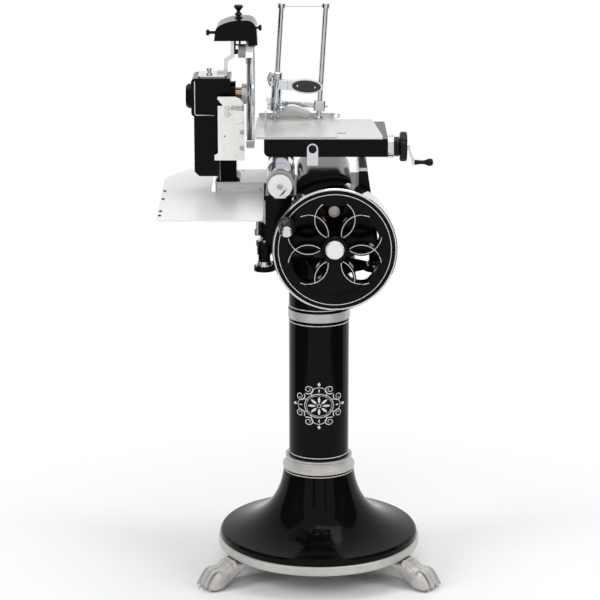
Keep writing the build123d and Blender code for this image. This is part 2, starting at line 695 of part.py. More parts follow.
def handle_pin():
    """Shouldered pin with a slotted head that keeps the grip on."""
    x, z = handle_spot()
    end = WHEEL_Y0 - GRIP_L - 2 * GAP
    pin = rod_y(PIN_R, x, end, WHEEL_Y0 + 29, z)
    head = turned_y([(0, -4), (9, -4), (13, -1.5), (13, 0), (0, 0)], x, end, z)
    slot = block(x - 10, x + 10, end - 5, end - 3, z - 1, z + 1)
    return pin.fuse(head - slot)


def flywheel_grip():
    """Barrel grip that turns freely on its pin."""
    x, z = handle_spot()
    half = GRIP_L / 2
    edges = [
        Line((PIN_R + RUN, 0), (15, 0)),
        Line((15, 0), (16.5, 2)),
        ThreePointArc((16.5, 2), (GRIP_R, half), (16.5, GRIP_L - 2)),
        Line((16.5, GRIP_L - 2), (15, GRIP_L)),
        Line((15, GRIP_L), (PIN_R + RUN, GRIP_L)),
        Line((PIN_R + RUN, GRIP_L), (PIN_R + RUN, 0)),
    ]
    grip = revolve(Plane.XZ * make_face(edges), Axis.Z)
    return Pos(x, WHEEL_Y0 - GRIP_L - GAP, z) * Rot(-90, 0, 0) * grip


# ---- inner drive ----
def lay_shaft():
    """Second shaft with its pinion cut on it and a mitre gear at the end."""
    pinion = Pos(WHEEL_X, GEAR_Y, LAY_Z) * Rot(-90, 0, 0) * spur(PINION_T, GEAR_M, GEAR_W + 2, 180 / PINION_T)
    shaft = rod_y(LAY_R, WHEEL_X, -BASE_HALF_Y - 2, CROSS_Y - MITRE_R - 7, LAY_Z)
    gear = Pos(WHEEL_X, CROSS_Y, LAY_Z) * Rot(-90, 0, 0) * mitre()
    return shaft.fuse(pinion, gear)


def cross_shaft():
    """Shaft to the blade column: mitre gear at one end, chain wheel at the other."""
    gear = Pos(WHEEL_X, CROSS_Y, LAY_Z) * Rot(0, 90, 0) * mitre(180 / MITRE_T)
    shaft = rod_x(CROSS_R, CHAIN_X - 12, WHEEL_X - MITRE_R - 7, CROSS_Y, LAY_Z)
    wheel = Pos(CHAIN_X, CROSS_Y, LAY_Z) * Rot(0, 90, 0) * chain_wheel(DRIVE_TEETH, DRIVE_R)
    collar = rod_x(CROSS_R + 5, BASE_LEFT + BASE_WALL + GAP, BASE_LEFT + BASE_WALL + 9, CROSS_Y, LAY_Z)
    return shaft.fuse(gear, wheel, collar)


def chain_wheel(teeth, pitch_r):
    """Chain wheel about Z with shallow scallops between its teeth."""
    outer = pitch_r - CHAIN_T / 2 - GAP
    wheel = rod_z(outer, 0, 0, -CHAIN_W / 2 + 0.5, CHAIN_W / 2 - 0.5)
    scallop = Pos(outer + 0.9, 0, 0) * Cylinder(2.2, CHAIN_W)
    scallops = [Rot(0, 0, 360 * k / teeth) * scallop for k in range(teeth)]
    return wheel - Compound(scallops)


def drive_chain():
    """Chain that runs in the blade column, shown as one closed loop."""
    outer = belt(CROSS_Y, LAY_Z, DRIVE_R + CHAIN_T / 2, BLADE_Y, BLADE_Z, TOP_R + CHAIN_T / 2)
    inner = belt(CROSS_Y, LAY_Z, DRIVE_R - CHAIN_T / 2, BLADE_Y, BLADE_Z, TOP_R - CHAIN_T / 2)
    return slab_x(outer - inner, CHAIN_X - CHAIN_W / 2, CHAIN_X + CHAIN_W / 2)


def blade_shaft():
    """Blade shaft with its chain wheel and the flange that carries the blade."""
    shaft = rod_x(BLADE_SHAFT_R, CHAIN_X - 24, BLADE_X, BLADE_Y, BLADE_Z)
    wheel = Pos(CHAIN_X, BLADE_Y, BLADE_Z) * Rot(0, 90, 0) * chain_wheel(BLADE_TEETH, TOP_R)
    flange = rod_x(HUB_FLANGE_R, BLADE_X - BLADE_T - 5, BLADE_X - BLADE_T, BLADE_Y, BLADE_Z)
    return shaft.fuse(wheel, flange)


def slicing_blade():
    """Thin round blade, flat towards the meat and hollow on the back, with a bevelled edge."""
    back = -BLADE_T
    section = [(BLADE_SHAFT_R + SEAT, 0), (BLADE_R, 0), (BLADE_R - 1.2, -0.5), (BLADE_R - 9, -2.2),
               (BLADE_R - 11, back), (HUB_FLANGE_R + 22, back), (HUB_FLANGE_R + 16, back), (BLADE_SHAFT_R + SEAT, back)]
    hollow = turned([(HUB_FLANGE_R + 20, back - 1), (BLADE_R - 22, back - 1), (BLADE_R - 26, back + 1.0),
                     (HUB_FLANGE_R + 26, back + 1.0)])
    return Pos(BLADE_X, BLADE_Y, BLADE_Z) * Rot(0, 90, 0) * (turned(section) - hollow)


def blade_hub():
    """Clamp plate in the middle of the blade with its three countersunk screws."""
    plate = turned([(0, 0), (HUB_FLANGE_R - 4, 0), (HUB_FLANGE_R - 5, 3), (0, 3)])
    for k in range(3):
        screw = Pos(20, 0, 3) * Cylinder(4.5, 1.2, align=(Align.CENTER, Align.CENTER, Align.MIN))
        plate = plate.fuse(Rot(0, 0, 120 * k) * screw)
    return Pos(BLADE_X, BLADE_Y, BLADE_Z) * Rot(0, 90, 0) * plate


# ---- blade housing ----
def blade_housing():
    """Cast case: bearing block, side case and the leaning column that the chain runs in."""
    block_top = block(HOUSE_X0, HOUSE_X1, HOUSE_Y0, HOUSE_Y1, HOUSE_Z0, HOUSE_Z1)
    block_top = fillet(block_top.edges().filter_by(Axis.Y).group_by(Axis.X)[0], 10)
    side = block(CASE_X0, CASE_X1, HOUSE_Y0 + 12, HOUSE_Y1 + 4, CASE_Z0, HOUSE_Z0)
    low = side.edges().filter_by(Axis.Y).group_by(Axis.Z)[0].sort_by(Axis.X)[0]
    side = chamfer(low, 12)
    reach = CHAIN_T / 2 + CHAIN_ROOM
    column = slab_x(belt(CROSS_Y, LAY_Z, DRIVE_R + reach + HOUSE_WALL, BLADE_Y, BLADE_Z, TOP_R + reach + HOUSE_WALL + 5),
                    COLUMN_X0, COLUMN_X1)
    half = DRIVE_R + reach + HOUSE_WALL
    flare = block(COLUMN_X0 - 6, COLUMN_X1 + 8, CROSS_Y - half - 4, CROSS_Y + half + 4, DECK_Z, DECK_Z + 9)
    flare = chamfer(flare.edges().group_by(Axis.Z)[-1], 5)
    case = block_top.fuse(side, column, flare)
    case = case - block(-400, -100, -200, 300, 0, DECK_Z)
    room = slab_x(belt(CROSS_Y, LAY_Z, DRIVE_R + reach, BLADE_Y, BLADE_Z, TOP_R + reach),
                  CHAIN_X - 12, CHAIN_X + 12)
    bore = rod_x(BLADE_SHAFT_R + BUSH_T + SEAT, CHAIN_X - 40, COLUMN_X1 + 1, BLADE_Y, BLADE_Z)
    return case - room - bore


def blade_bushes():
    """Bushes of the blade shaft; the outer one is the bright sleeve between housing and blade."""
    x0 = CHAIN_X - 40
    x1 = CHAIN_X - 12
    left = rod_x(BLADE_SHAFT_R + BUSH_T, x0, x1, BLADE_Y, BLADE_Z)
    left = left - rod_x(BLADE_SHAFT_R + RUN, x0 + 5, x1 + 1, BLADE_Y, BLADE_Z)
    sleeve = rod_x(BLADE_SHAFT_R + BUSH_T, CHAIN_X + 12, COLUMN_X1, BLADE_Y, BLADE_Z)
    sleeve = sleeve.fuse(rod_x(SLEEVE_R, COLUMN_X1, GUARD_X0 + 2, BLADE_Y, BLADE_Z))
    sleeve = sleeve - rod_x(BLADE_SHAFT_R + RUN, CHAIN_X, BLADE_X, BLADE_Y, BLADE_Z)
    return [left, sleeve]


def housing_cap():
    cap = turned([(0, 0), (HOUSE_CAP_R, 0), (HOUSE_CAP_R, 9), (HOUSE_CAP_R - 5, HOUSE_CAP_T), (0, HOUSE_CAP_T)])
    return Pos(HOUSE_X0, BLADE_Y, HOUSE_Z1 - 52) * Rot(0, -90, 0) * cap


def housing_top_plate():
    """Bright cover plate on the bearing block with its oil cup."""
    plate = block(-303, -232, HOUSE_Y0 + 14, HOUSE_Y1 - 14, HOUSE_Z1, HOUSE_Z1 + TOP_PLATE_T)
    plate = fillet(plate.edges().filter_by(Axis.Z), 6)
    cup = turned([(0, 0), (8, 0), (8, 3), (5, 4), (5, 10), (7, 11), (7, 15), (0, 17)])
    return plate.fuse(Pos(-276, BLADE_Y - 10, HOUSE_Z1 + TOP_PLATE_T) * cup)


def blade_guard():
    """Ring guard round the back of the blade, open towards the operator, on a spider that grips the sleeve."""
    deep = GUARD_X1 - GUARD_X0
    section = [(GUARD_IN_R - 22, 0), (GUARD_IN_R + GUARD_T, 0), (GUARD_IN_R + GUARD_T, deep), (GUARD_IN_R, deep),
               (GUARD_IN_R, GUARD_T), (GUARD_IN_R - 22, GUARD_T)]
    ring = Pos(GUARD_X0, BLADE_Y, BLADE_Z) * Rot(0, 90, 0) * turned(section)
    reach = GUARD_IN_R * 1.5
    opening = slab_x(outline([(0, 0), (-reach, -reach * tan(radians(GUARD_OPEN))),
                              (-reach, reach * tan(radians(GUARD_OPEN)))]), GUARD_X0 - 1, GUARD_X1 + 1)
    ring = ring - Pos(0, BLADE_Y, BLADE_Z) * opening
    arms = []
    for angle in (-20, 62, 245):
        arm = block(GUARD_X0, GUARD_X0 + GUARD_T, SLEEVE_R + 2, GUARD_IN_R - 18, -9, 9)
        arms.append(Pos(0, BLADE_Y, BLADE_Z) * Rot(angle, 0, 0) * arm)
    hub = rod_x(SLEEVE_R + 9, GUARD_X0 - 12, GUARD_X0 + GUARD_T, BLADE_Y, BLADE_Z)
    bore = rod_x(SLEEVE_R + SEAT, GUARD_X0 - 20, GUARD_X0 + 2, BLADE_Y, BLADE_Z)
    passage = rod_x(BLADE_SHAFT_R + 2, GUARD_X0 - 20, GUARD_X1, BLADE_Y, BLADE_Z)
    low = STONE_Z - STONE_R - 3
    window = block(GUARD_X0 - 1, GUARD_X0 + GUARD_T + 0.1, GRIND_Y - STONE_R - 3, GRIND_Y + STONE_R + 3,
                   low, BLADE_Z + GUARD_IN_R - 3.5)
    return ring.fuse(hub, *arms) - bore - passage - window


def deflector_face():
    """Outline of the slice deflector in (x, z): notched corner, tab at the lower left, rounded upper right."""
    edges = [
        Line((-262, 1106), (-187, 1106)),
        Line((-187, 1106), (-187, 1240)),
        ThreePointArc((-187, 1240), (-195, 1258), (-213, 1266)),
        Line((-213, 1266), (-252, 1266)),
        Line((-252, 1266), (-254, 1261)),
        Line((-254, 1261), (-240, 1243)),
        Line((-240, 1243), (-253, 1243)),
        Line((-253, 1243), (-253, 1124)),
        Line((-253, 1124), (-262, 1119)),
        Line((-262, 1119), (-262, 1106)),
    ]
    return make_face(edges)


def slice_deflector():
    """Plate behind the blade that turns the slices down into the tray."""
    slot = Pos(-207, 1208) * SlotOverall(42, 19)
    hole = Pos(-236, 1167) * Circle(2)
    return slab_y(deflector_face() - slot - hole, DEFLECT_Y - DEFLECT_T, DEFLECT_Y)


def deflector_bracket():
    """Studs between bearing block and deflector, with their round nuts in front."""
    studs = []
    for x, z in ((-231, 1238), (-231, 1222)):
        stud = rod_y(4, x, DEFLECT_Y, HOUSE_Y0, z)
        studs.append(stud.fuse(rod_y(5.5, x, DEFLECT_Y - DEFLECT_T - 5, DEFLECT_Y - DEFLECT_T, z)))
    return Compound(studs)


# ---- tray ----
def tilt_tray(shape):
    return Pos(0, 0, TRAY_Z) * Rot(TRAY_SLOPE, 0, 0) * shape


def slice_tray():
    """Sloping plate that catches the slices, cut back beside the blade column."""
    face = Plane.XY * outline([(TRAY_X0, TRAY_Y0), (TRAY_X1, TRAY_Y0), (TRAY_X1, TRAY_NOTCH_Y),
                               (TRAY_NOTCH_X, TRAY_NOTCH_Y), (TRAY_NOTCH_X, TRAY_Y1), (TRAY_X0 + 60, TRAY_Y1),
                               (TRAY_X0, TRAY_Y1 - 90)])
    face = fillet(face.vertices(), 12)
    return tilt_tray(extrude(face, amount=TRAY_T))


def tray_bracket():
    """Curved bracket from the casting's flank to the tray, with a clamp screw below."""
    reach = 90.0
    half = 14.0
    y = -55.0
    x0 = BASE_LEFT - reach
    under = TRAY_Z + y * tan(radians(TRAY_SLOPE))
    edges = [
        Line((BASE_LEFT, under - 62), (BASE_LEFT, under + 10)),
        Line((BASE_LEFT, under + 10), (x0, under + 10)),
        Line((x0, under + 10), (x0, under - 9)),
        ThreePointArc((x0, under - 9), (BASE_LEFT - 38, under - 26), (BASE_LEFT, under - 62)),
    ]
    web = slab_y(make_face(edges), y - 5, y + 5)
    pad = block(x0, BASE_LEFT - 8, y - half, y + half, under - 7, under + 10)
    above = tilt_tray(block(-500, 0, -200, 200, 0, 60))
    screw = rod_z(5, BASE_LEFT - 20, y, under - 74, under - 20)
    knob = rod_z(9, BASE_LEFT - 20, y, under - 88, under - 74)
    return web + pad - above + screw + knob


# ---- sharpener ----
def cover_face(inset):
    """Front outline of the sharpener cover: high crown on the left, lower drop on the blade side."""
    x0 = COVER_X0 + inset
    x1 = COVER_X1 - inset
    z1 = COVER_Z1 - inset
    low = COVER_Z0 - (0 if inset == 0 else 2)
    drop = COVER_Z0 - COVER_DROP - (0 if inset == 0 else 2)
    step = -177 + inset
    edges = [
        Line((x0, low), (x0 + 4, COVER_Z0 + 26)),
        Spline((x0 + 4, COVER_Z0 + 26), (x0 + 22, z1 - 9), (x0 + 62, z1), tangents=((0.3, 1), (1, 0.03))),
        Line((x0 + 62, z1), (x1 - 26, z1)),
        ThreePointArc((x1 - 26, z1), (x1 - 9, z1 - 8), (x1 - 2, z1 - 26)),
        Line((x1 - 2, z1 - 26), (x1, drop)),
        Line((x1, drop), (step, drop)),
        Line((step, drop), (step, low)),
        Line((step, low), (x0, low)),
    ]
    return make_face(edges)


def sharpener_cover():
    """Thin cast hood over the stones, open below."""
    outer = slab_y(cover_face(0), -COVER_HALF_Y, COVER_HALF_Y)
    inner = slab_y(cover_face(COVER_WALL), -COVER_HALF_Y + COVER_WALL, COVER_HALF_Y - COVER_WALL)
    hood = outer - inner
    stem = rod_z(5 + 0.3, KNOB_X, 0, COVER_Z1 - 12, COVER_Z1 + 2)
    left = rod_x(4 + 0.3, COVER_X0 - 4, COVER_X0 + 14, GRIND_Y, GRIND_Z)
    right = rod_x(3 + 0.3, COVER_X1 - 12, COVER_X1 + 4, HONE_Y, HONE_Z)
    straddle = rod_x(GUARD_IN_R + GUARD_T + 1, GUARD_X0 - 1, GUARD_X1 + 1, BLADE_Y, BLADE_Z)
    return hood - stem - left - right - straddle


def sharpener_post():
    """Cranked flat bar from the bearing block up into the hood, with the guides of both spindles."""
    y0, y1 = 14.0, 40.0
    low = HOUSE_Z1 + TOP_PLATE_T
    low_x = POST_X0 - 17
    foot = block(low_x - 18, low_x + POST_T, y0, y1, low, low + 5)
    edges = Polyline((low_x, low), (low_x + POST_T, low), (low_x + POST_T, low + 28), (POST_X0 + POST_T, low + 40),
                     (POST_X0 + POST_T, POST_TOP), (POST_X0, POST_TOP), (POST_X0, low + 45), (low_x, low + 34),
                     close=True)
    bar = slab_y(make_face(edges), y0, y1)
    plate = block(POST_X0 + 2, -180, y1 - 6, y1, COVER_Z0 + 6, POST_TOP)
    left = block(POST_X0 - 22, POST_X0 + 2, GRIND_Y - 10, y1, GRIND_Z - 9, GRIND_Z + 9)
    right = block(-192, -180, HONE_Y - 8, y1, HONE_Z - 8, HONE_Z + 8)
    head = rod_z(7, KNOB_X, 0, POST_TOP - 6, COVER_Z1 - COVER_WALL - 4 * GAP)
    carry = block(KNOB_X - 8, KNOB_X + 8, 0, y1, POST_TOP - 6, POST_TOP)
    post = foot.fuse(bar, plate, left, right, head, carry)
    post = post - rod_x(4 + RUN, POST_X0 - 30, YOKE_X0 + 5, GRIND_Y, GRIND_Z)
    post = post - rod_x(3 + RUN, HONE_END - 6, -170, HONE_Y, HONE_Z)
    return post - rod_z(5 + RUN, KNOB_X, 0, COVER_Z1 - 20, COVER_Z1 + 1)


def sharpener_knob():
    """Waisted knob on top of the hood with its stem."""
    knob = turned([(0, -9), (5, -9), (5, GAP), (10.5, GAP), (10.5, 2.5), (6, 3.5), (5.5, 5.5), (9.5, 8), (9.5, 9.5),
                   (4.2, 15.5), (4.6, 18), (11.8, KNOB_H - 6), (12, KNOB_H - 4), (8.5, KNOB_H - 0.8), (0, KNOB_H)])
    return Pos(KNOB_X, 0, COVER_Z1) * knob


def grinding_knob():
    """Push knob, its spindle through the hood, and the fork that carries the grinding stone."""
    knob = turned([(0, 0), (5, 0), (8, 2), (8, 5), (6, 8), (0, 8)])
    start = COVER_X0 - PRESS - 0.6
    top = STONE_Z + STONE_R + 4
    knob = Pos(start, GRIND_Y, GRIND_Z) * Rot(0, -90, 0) * knob
    spindle = rod_x(4, start, YOKE_X0 + 4, GRIND_Y, GRIND_Z)
    yoke = block(YOKE_X0, YOKE_X1, GRIND_Y - 7, GRIND_Y + 7, GRIND_Z - 15, GRIND_Z + 8)
    cross = block(YOKE_X0, STONE_X1 - 8, GRIND_Y - 5, GRIND_Y + 5, GRIND_Z - 15, GRIND_Z - 11)
    posts = [rod_z(2.6, x, GRIND_Y, top - 2, GRIND_Z - 12) for x in (YOKE_X0 + 8, STONE_X1 - 15)]
    bail = block(STONE_X0 - 10, STONE_X1, GRIND_Y - 5, GRIND_Y + 5, top - 3.5, top)
    cheek = block(STONE_X0 - 10, STONE_X0 - 6, GRIND_Y - 5, GRIND_Y + 5, STONE_Z - 6, top)
    axle = rod_x(3, STONE_X0 - 8, STONE_X1, GRIND_Y, STONE_Z)
    collar = rod_x(6, STONE_X0 - 7, STONE_X0, GRIND_Y, STONE_Z)
    return knob.fuse(spindle, yoke, cross, bail, cheek, axle, collar, *posts)


def grinding_stone():
    return rod_x(STONE_R, STONE_X0, STONE_X1, GRIND_Y, STONE_Z) - rod_x(3 + SEAT, STONE_X0 - 1, STONE_X1 + 1,
                                                                       GRIND_Y, STONE_Z)


def honing_knob():
    """Small push knob on the blade side with the hanger of the honing stone."""
    start = COVER_X1 + HONE_PRESS + 0.6
    knob = Pos(start, HONE_Y, HONE_Z) * Rot(0, 90, 0) * turned([(0, 0), (5, 0), (7.5, 2), (7.5, 6), (5, 8), (0, 8)])
    spindle = rod_x(3, HONE_END, start, HONE_Y, HONE_Z)
    back = HONE_X0 + HONE_T
    hanger = block(back, back + 2.5, HONE_Y - 5, HONE_Y + 5, HONE_STONE_Z - 3, HONE_Z + 1)
    return knob.fuse(spindle, hanger)


def honing_stone():
    """Small stone on the hanger, just beside the blade's edge."""
    return rod_x(HONE_R, HONE_X0, HONE_X0 + HONE_T, HONE_Y, HONE_STONE_Z)


# ---- carriage ----
def carriage_body():
    """Long box under the table, open below, with the slot for the feed nut."""
    box = block(BOX_X0, BOX_X1, -BOX_HALF_Y, BOX_HALF_Y, BOX_Z0, BOX_Z1)
    low_left = box.edges().filter_by(Axis.Y).group_by(Axis.Z)[0].sort_by(Axis.X)[0]
    box = fillet(low_left, 14)
    room = block(BOX_X0 + BOX_WALL, BOX_X1 - BOX_WALL, -BOX_HALF_Y + BOX_WALL, BOX_HALF_Y - BOX_WALL,
                 BOX_Z0 - 1, BOX_Z1 - BOX_WALL)
    bridge = block(BAR_X - 30, BAR_X + 30, -RUNNER_HALF, RUNNER_HALF, BOX_Z0, BOX_Z1 - BOX_WALL)
    ear = block(RAIL_X0 - 8, RAIL_X1 + 8, -16, 16, BOX_Z0, BOX_Z1 - BOX_WALL)
    left = block(BOX_X0 + 2, BOX_X0 + 14, SCREW_Y - 12, SCREW_Y + 12, SCREW_Z - 12, BOX_Z1 - BOX_WALL)
    left = left & block(BOX_X0, BOX_X1, -BOX_HALF_Y, BOX_HALF_Y, BOX_Z0 + 2, BOX_Z1)
    body = (box - room).fuse(bridge, ear, left)
    end = rod_x(SCREW_R + BUSH_T + 1, BOX_X1 - BOX_WALL - 8, BOX_X1, SCREW_Y, SCREW_Z)
    body = body.fuse(end) - feed_slot(BOX_Z1 - BOX_WALL - 1, BOX_Z1 + 1)
    body = body - rod_x(SCREW_R + RUN, BOX_X0 + 6, BOX_X1 + 1, SCREW_Y, SCREW_Z)
    return body - rod_y(LEVER_PIN_R + RUN, LEVER_X, -BOX_HALF_Y - 1, -BOX_HALF_Y + BOX_WALL + 1, LEVER_Z)


def feed_slot(z0, z1):
    """Slot that the feed nut's neck runs along."""
    return block(NUT_X0 - 3, NUT_X1 + FEED + 3, SCREW_Y - 6.5, SCREW_Y + 6.5, z0, z1)


def carriage_top():
    """Ground plate on the box; its right end tapers towards the back."""
    face = outline([(TOP_X0, TOP_Y0), (TOP_X1, TOP_Y0), (TOP_X1, TOP_Y0 + 40), (TOP_X1_BACK, TOP_Y1), (TOP_X0, TOP_Y1)])
    plate = extrude(Pos(0, 0, BOX_Z1) * (Plane.XY * face), amount=TOP_T)
    return plate - feed_slot(BOX_Z1 - 1, TOP_Z + 1)


def carriage_runners():
    """Bright sleeve on the guide bar and the fork of the rail roller."""
    sleeve = rod_y(RUNNER_R, BAR_X, -RUNNER_HALF, RUNNER_HALF, BAR_Z)
    neck = block(BAR_X - 20, BAR_X + 20, -RUNNER_HALF, RUNNER_HALF, BAR_Z, BOX_Z0)
    sleeve = sleeve.fuse(neck) - rod_y(BAR_R + RUN, BAR_X, -RUNNER_HALF - 1, RUNNER_HALF + 1, BAR_Z)
    sole = SHOULDER_Z + SUPPORT_FOOT + GAP
    sleeve = sleeve - block(BAR_X - 40, BAR_X + 40, -RUNNER_HALF - 1, RUNNER_HALF + 1, sole - 20, sole)
    z = RAIL_Z + RAIL_T + ROLLER_R + 0.3
    mid = (RAIL_X0 + RAIL_X1) / 2
    half = ROLLER_W / 2 + GAP
    fork = []
    for x0 in (mid - half - 4, mid + half):
        fork.append(block(x0, x0 + 4, -9, 9, z - 5, BOX_Z0))
    fork.append(block(mid - half - 4, mid + half + 4, -9, 9, BOX_Z0 - 3, BOX_Z0))
    bracket = fork[0].fuse(fork[1], fork[2]) - rod_y(1, mid, -1, 1, z)
    pin = rod_x(3, mid - half - 5, mid + half + 5, 0, z)
    hook = block(mid + half + 4, mid + half + 7, -4, 4, z - 4, BOX_Z0)
    return Compound([sleeve, bracket.fuse(pin, hook)])


def rail_roller():
    z = RAIL_Z + RAIL_T + ROLLER_R + 0.3
    mid = (RAIL_X0 + RAIL_X1) / 2
    wheel = rod_x(ROLLER_R, mid - ROLLER_W / 2, mid + ROLLER_W / 2, 0, z)
    return wheel - rod_x(3 + RUN, mid - ROLLER_W, mid + ROLLER_W, 0, z)


def dial_ring():
    """Bright bearing ring on the end of the box."""
    ring = turned([(SCREW_R + RUN, 0), (DIAL_R, 0), (DIAL_R, RING_W - 2), (DIAL_R - 2, RING_W),
                   (SCREW_R + RUN, RING_W)])
    return Pos(RING_X0, SCREW_Y, SCREW_Z) * Rot(0, 90, 0) * ring


def thickness_wheel():
    """Fluted black wheel with its index collar, which sets the slice thickness."""
    x0 = RING_X0 + RING_W + GAP
    half = WHEEL_DIAL_R
    shape = turned([(SCREW_R + RUN, 0), (24.5, 0), (24.5, 11), (20, 13), (half - 3, 13), (half, 16), (half, 28),
                    (half - 3, 31), (14, 31), (SCREW_R + RUN, 28)])
    flute = Pos(half + 4.2, 0, 22) * Cylinder(6, 20)
    shape = shape - Compound([Rot(0, 0, 30 * k) * flute for k in range(12)])
    return Pos(x0, SCREW_Y, SCREW_Z) * Rot(0, 90, 0) * shape


def crank_x():
    """Where the small crank's arm starts, just outside the thickness wheel."""
    return RING_X0 + RING_W + GAP + 31 + GAP


def feed_screw():
    """Screw that feeds the table, with the cranked arm and its pin."""
    x0 = crank_x()
    screw = rod_x(SCREW_R, BOX_X0 + 7, x0 + 4, SCREW_Y, SCREW_Z)
    boss = rod_x(9, x0, x0 + 7, SCREW_Y, SCREW_Z)
    arm_path = outline([(x0 + 1, SCREW_Z - 7), (x0 + 7, SCREW_Z - 7), (x0 + 19, SCREW_Z - CRANK_SWING + 5),
                        (x0 + 19, SCREW_Z - CRANK_SWING - 6), (x0 + 12, SCREW_Z - CRANK_SWING - 6),
                        (x0 + 12, SCREW_Z - CRANK_SWING + 4), (x0 + 1, SCREW_Z + 2)])
    arm = slab_y(arm_path, SCREW_Y - 5, SCREW_Y + 5)
    pin = rod_x(3, x0 + 14, x0 + 19 + GRIP2_L + 1, SCREW_Y, SCREW_Z - CRANK_SWING)
    head = rod_x(4.5, x0 + 19 + GRIP2_L + GAP, x0 + 19 + GRIP2_L + 2.4, SCREW_Y, SCREW_Z - CRANK_SWING)
    return screw + boss + arm + pin + head


def feed_crank_grip():
    """Small waisted grip with a round end."""
    bore = 3 + RUN
    edges = [
        Line((bore, GAP), (6.5, GAP)),
        Spline((6.5, GAP), (5.2, 14), (6.2, 28), (9.6, 38), (6.5, GRIP2_L), tangents=((0, 1), (-1, 0.6))),
        Line((6.5, GRIP2_L), (bore, GRIP2_L)),
        Line((bore, GRIP2_L), (bore, GAP)),
    ]
    grip = revolve(Plane.XZ * make_face(edges), Axis.Z)
    return Pos(crank_x() + 19, SCREW_Y, SCREW_Z - CRANK_SWING) * Rot(0, 90, 0) * grip


def release_lever():
    """Bright tab on the front of the box with its black knob on the pivot."""
    y = -BOX_HALF_Y - GAP
    face = Pos(LEVER_X, LEVER_Z) * Circle(14) + Pos(LEVER_X, (LEVER_Z + 1104) / 2) * Rectangle(28, LEVER_Z - 1104)
    tab = slab_y(face, y - 4, y)
    lip = block(LEVER_X - 14, LEVER_X + 14, y - 7, y, 1102, 1106)
    pin = rod_y(LEVER_PIN_R, LEVER_X, y - 2, -BOX_HALF_Y + BOX_WALL + 6, LEVER_Z)
    keeper = rod_y(8, LEVER_X, -BOX_HALF_Y + BOX_WALL + GAP, -BOX_HALF_Y + BOX_WALL + 4, LEVER_Z)
    return tab.fuse(lip, pin, keeper)


def release_knob():
    y = -BOX_HALF_Y - GAP - 4
    return Pos(LEVER_X, y, LEVER_Z) * Rot(90, 0, 0) * turned([(0, 0), (9.5, 0), (10, 4), (8, 9), (4, 11), (0, 11.5)])


# ---- table ----
def meat_table():
    """Sliding plate with a turned-down front lip, a low fence behind and the feed nut below."""
    plate = block(TABLE_X0, TABLE_X1, TOP_Y0 + 1, TABLE_Y1, TABLE_Z, TABLE_TOP)
    plate = fillet(plate.edges().filter_by(Axis.Z).group_by(Axis.Y)[0], 5)
    lip = block(TABLE_X0 + 2, TABLE_X1 - 2, TOP_Y0 - 4, TOP_Y0 + 2, TABLE_TOP - 1.5, TABLE_TOP)
    fence = block(TABLE_X0 + 6, TABLE_X1 - 6, TABLE_Y1 - 2, TABLE_Y1, TABLE_TOP - 1, TABLE_TOP + FENCE_H)
    curl = rod_z(3, TABLE_X1 - 6, TABLE_Y1 - 4, TABLE_TOP - 1, TABLE_TOP + FENCE_H)
    neck = block(NUT_X0, NUT_X1, SCREW_Y - 6, SCREW_Y + 6, SCREW_Z, TABLE_Z + 1)
    nut = block(NUT_X0, NUT_X1, SCREW_Y - 11, SCREW_Y + 11, SCREW_Z - 11, SCREW_Z + 11)
    return plate.fuse(lip, fence, curl, neck, nut) - rod_x(SCREW_R + RUN, NUT_X0 - 1, NUT_X1 + 1, SCREW_Y, SCREW_Z)


def lean(shape, x):
    """Stand a shape on the table at x, tilted like the rods."""
    return Pos(x, ROD_Y, TABLE_TOP) * Rot(0, ROD_TILT, 0) * shape


def clamp_rods():
    """Two leaning rods with their feet, joined at the top by a thin bar."""
    pieces = []
    for x in (ROD_LEFT, ROD_RIGHT):
        rod = rod_z(ROD_R, 0, 0, -1.4, ROD_L)
        foot = turned([(0, 0), (12, 0), (12, 3), (10, 8), (ROD_R, 9), (0, 9)])
        cap = rod_z(ROD_R + 3, 0, 0, ROD_L - 12, ROD_L)
        pieces.append(lean(rod.fuse(foot, cap), x))
    bar = Pos(ROD_LEFT, ROD_Y, TABLE_TOP) * Pos((ROD_L - 6) * ROD_SIN, 0, (ROD_L - 6) * ROD_COS) \
        * rod_x(3, 0, ROD_RIGHT - ROD_LEFT, 0, 0)
    stand = pieces[0].fuse(pieces[1], bar)
    return stand - block(-400, 400, ROD_Y - 30, ROD_Y + 30, TABLE_TOP - 9, TABLE_TOP)


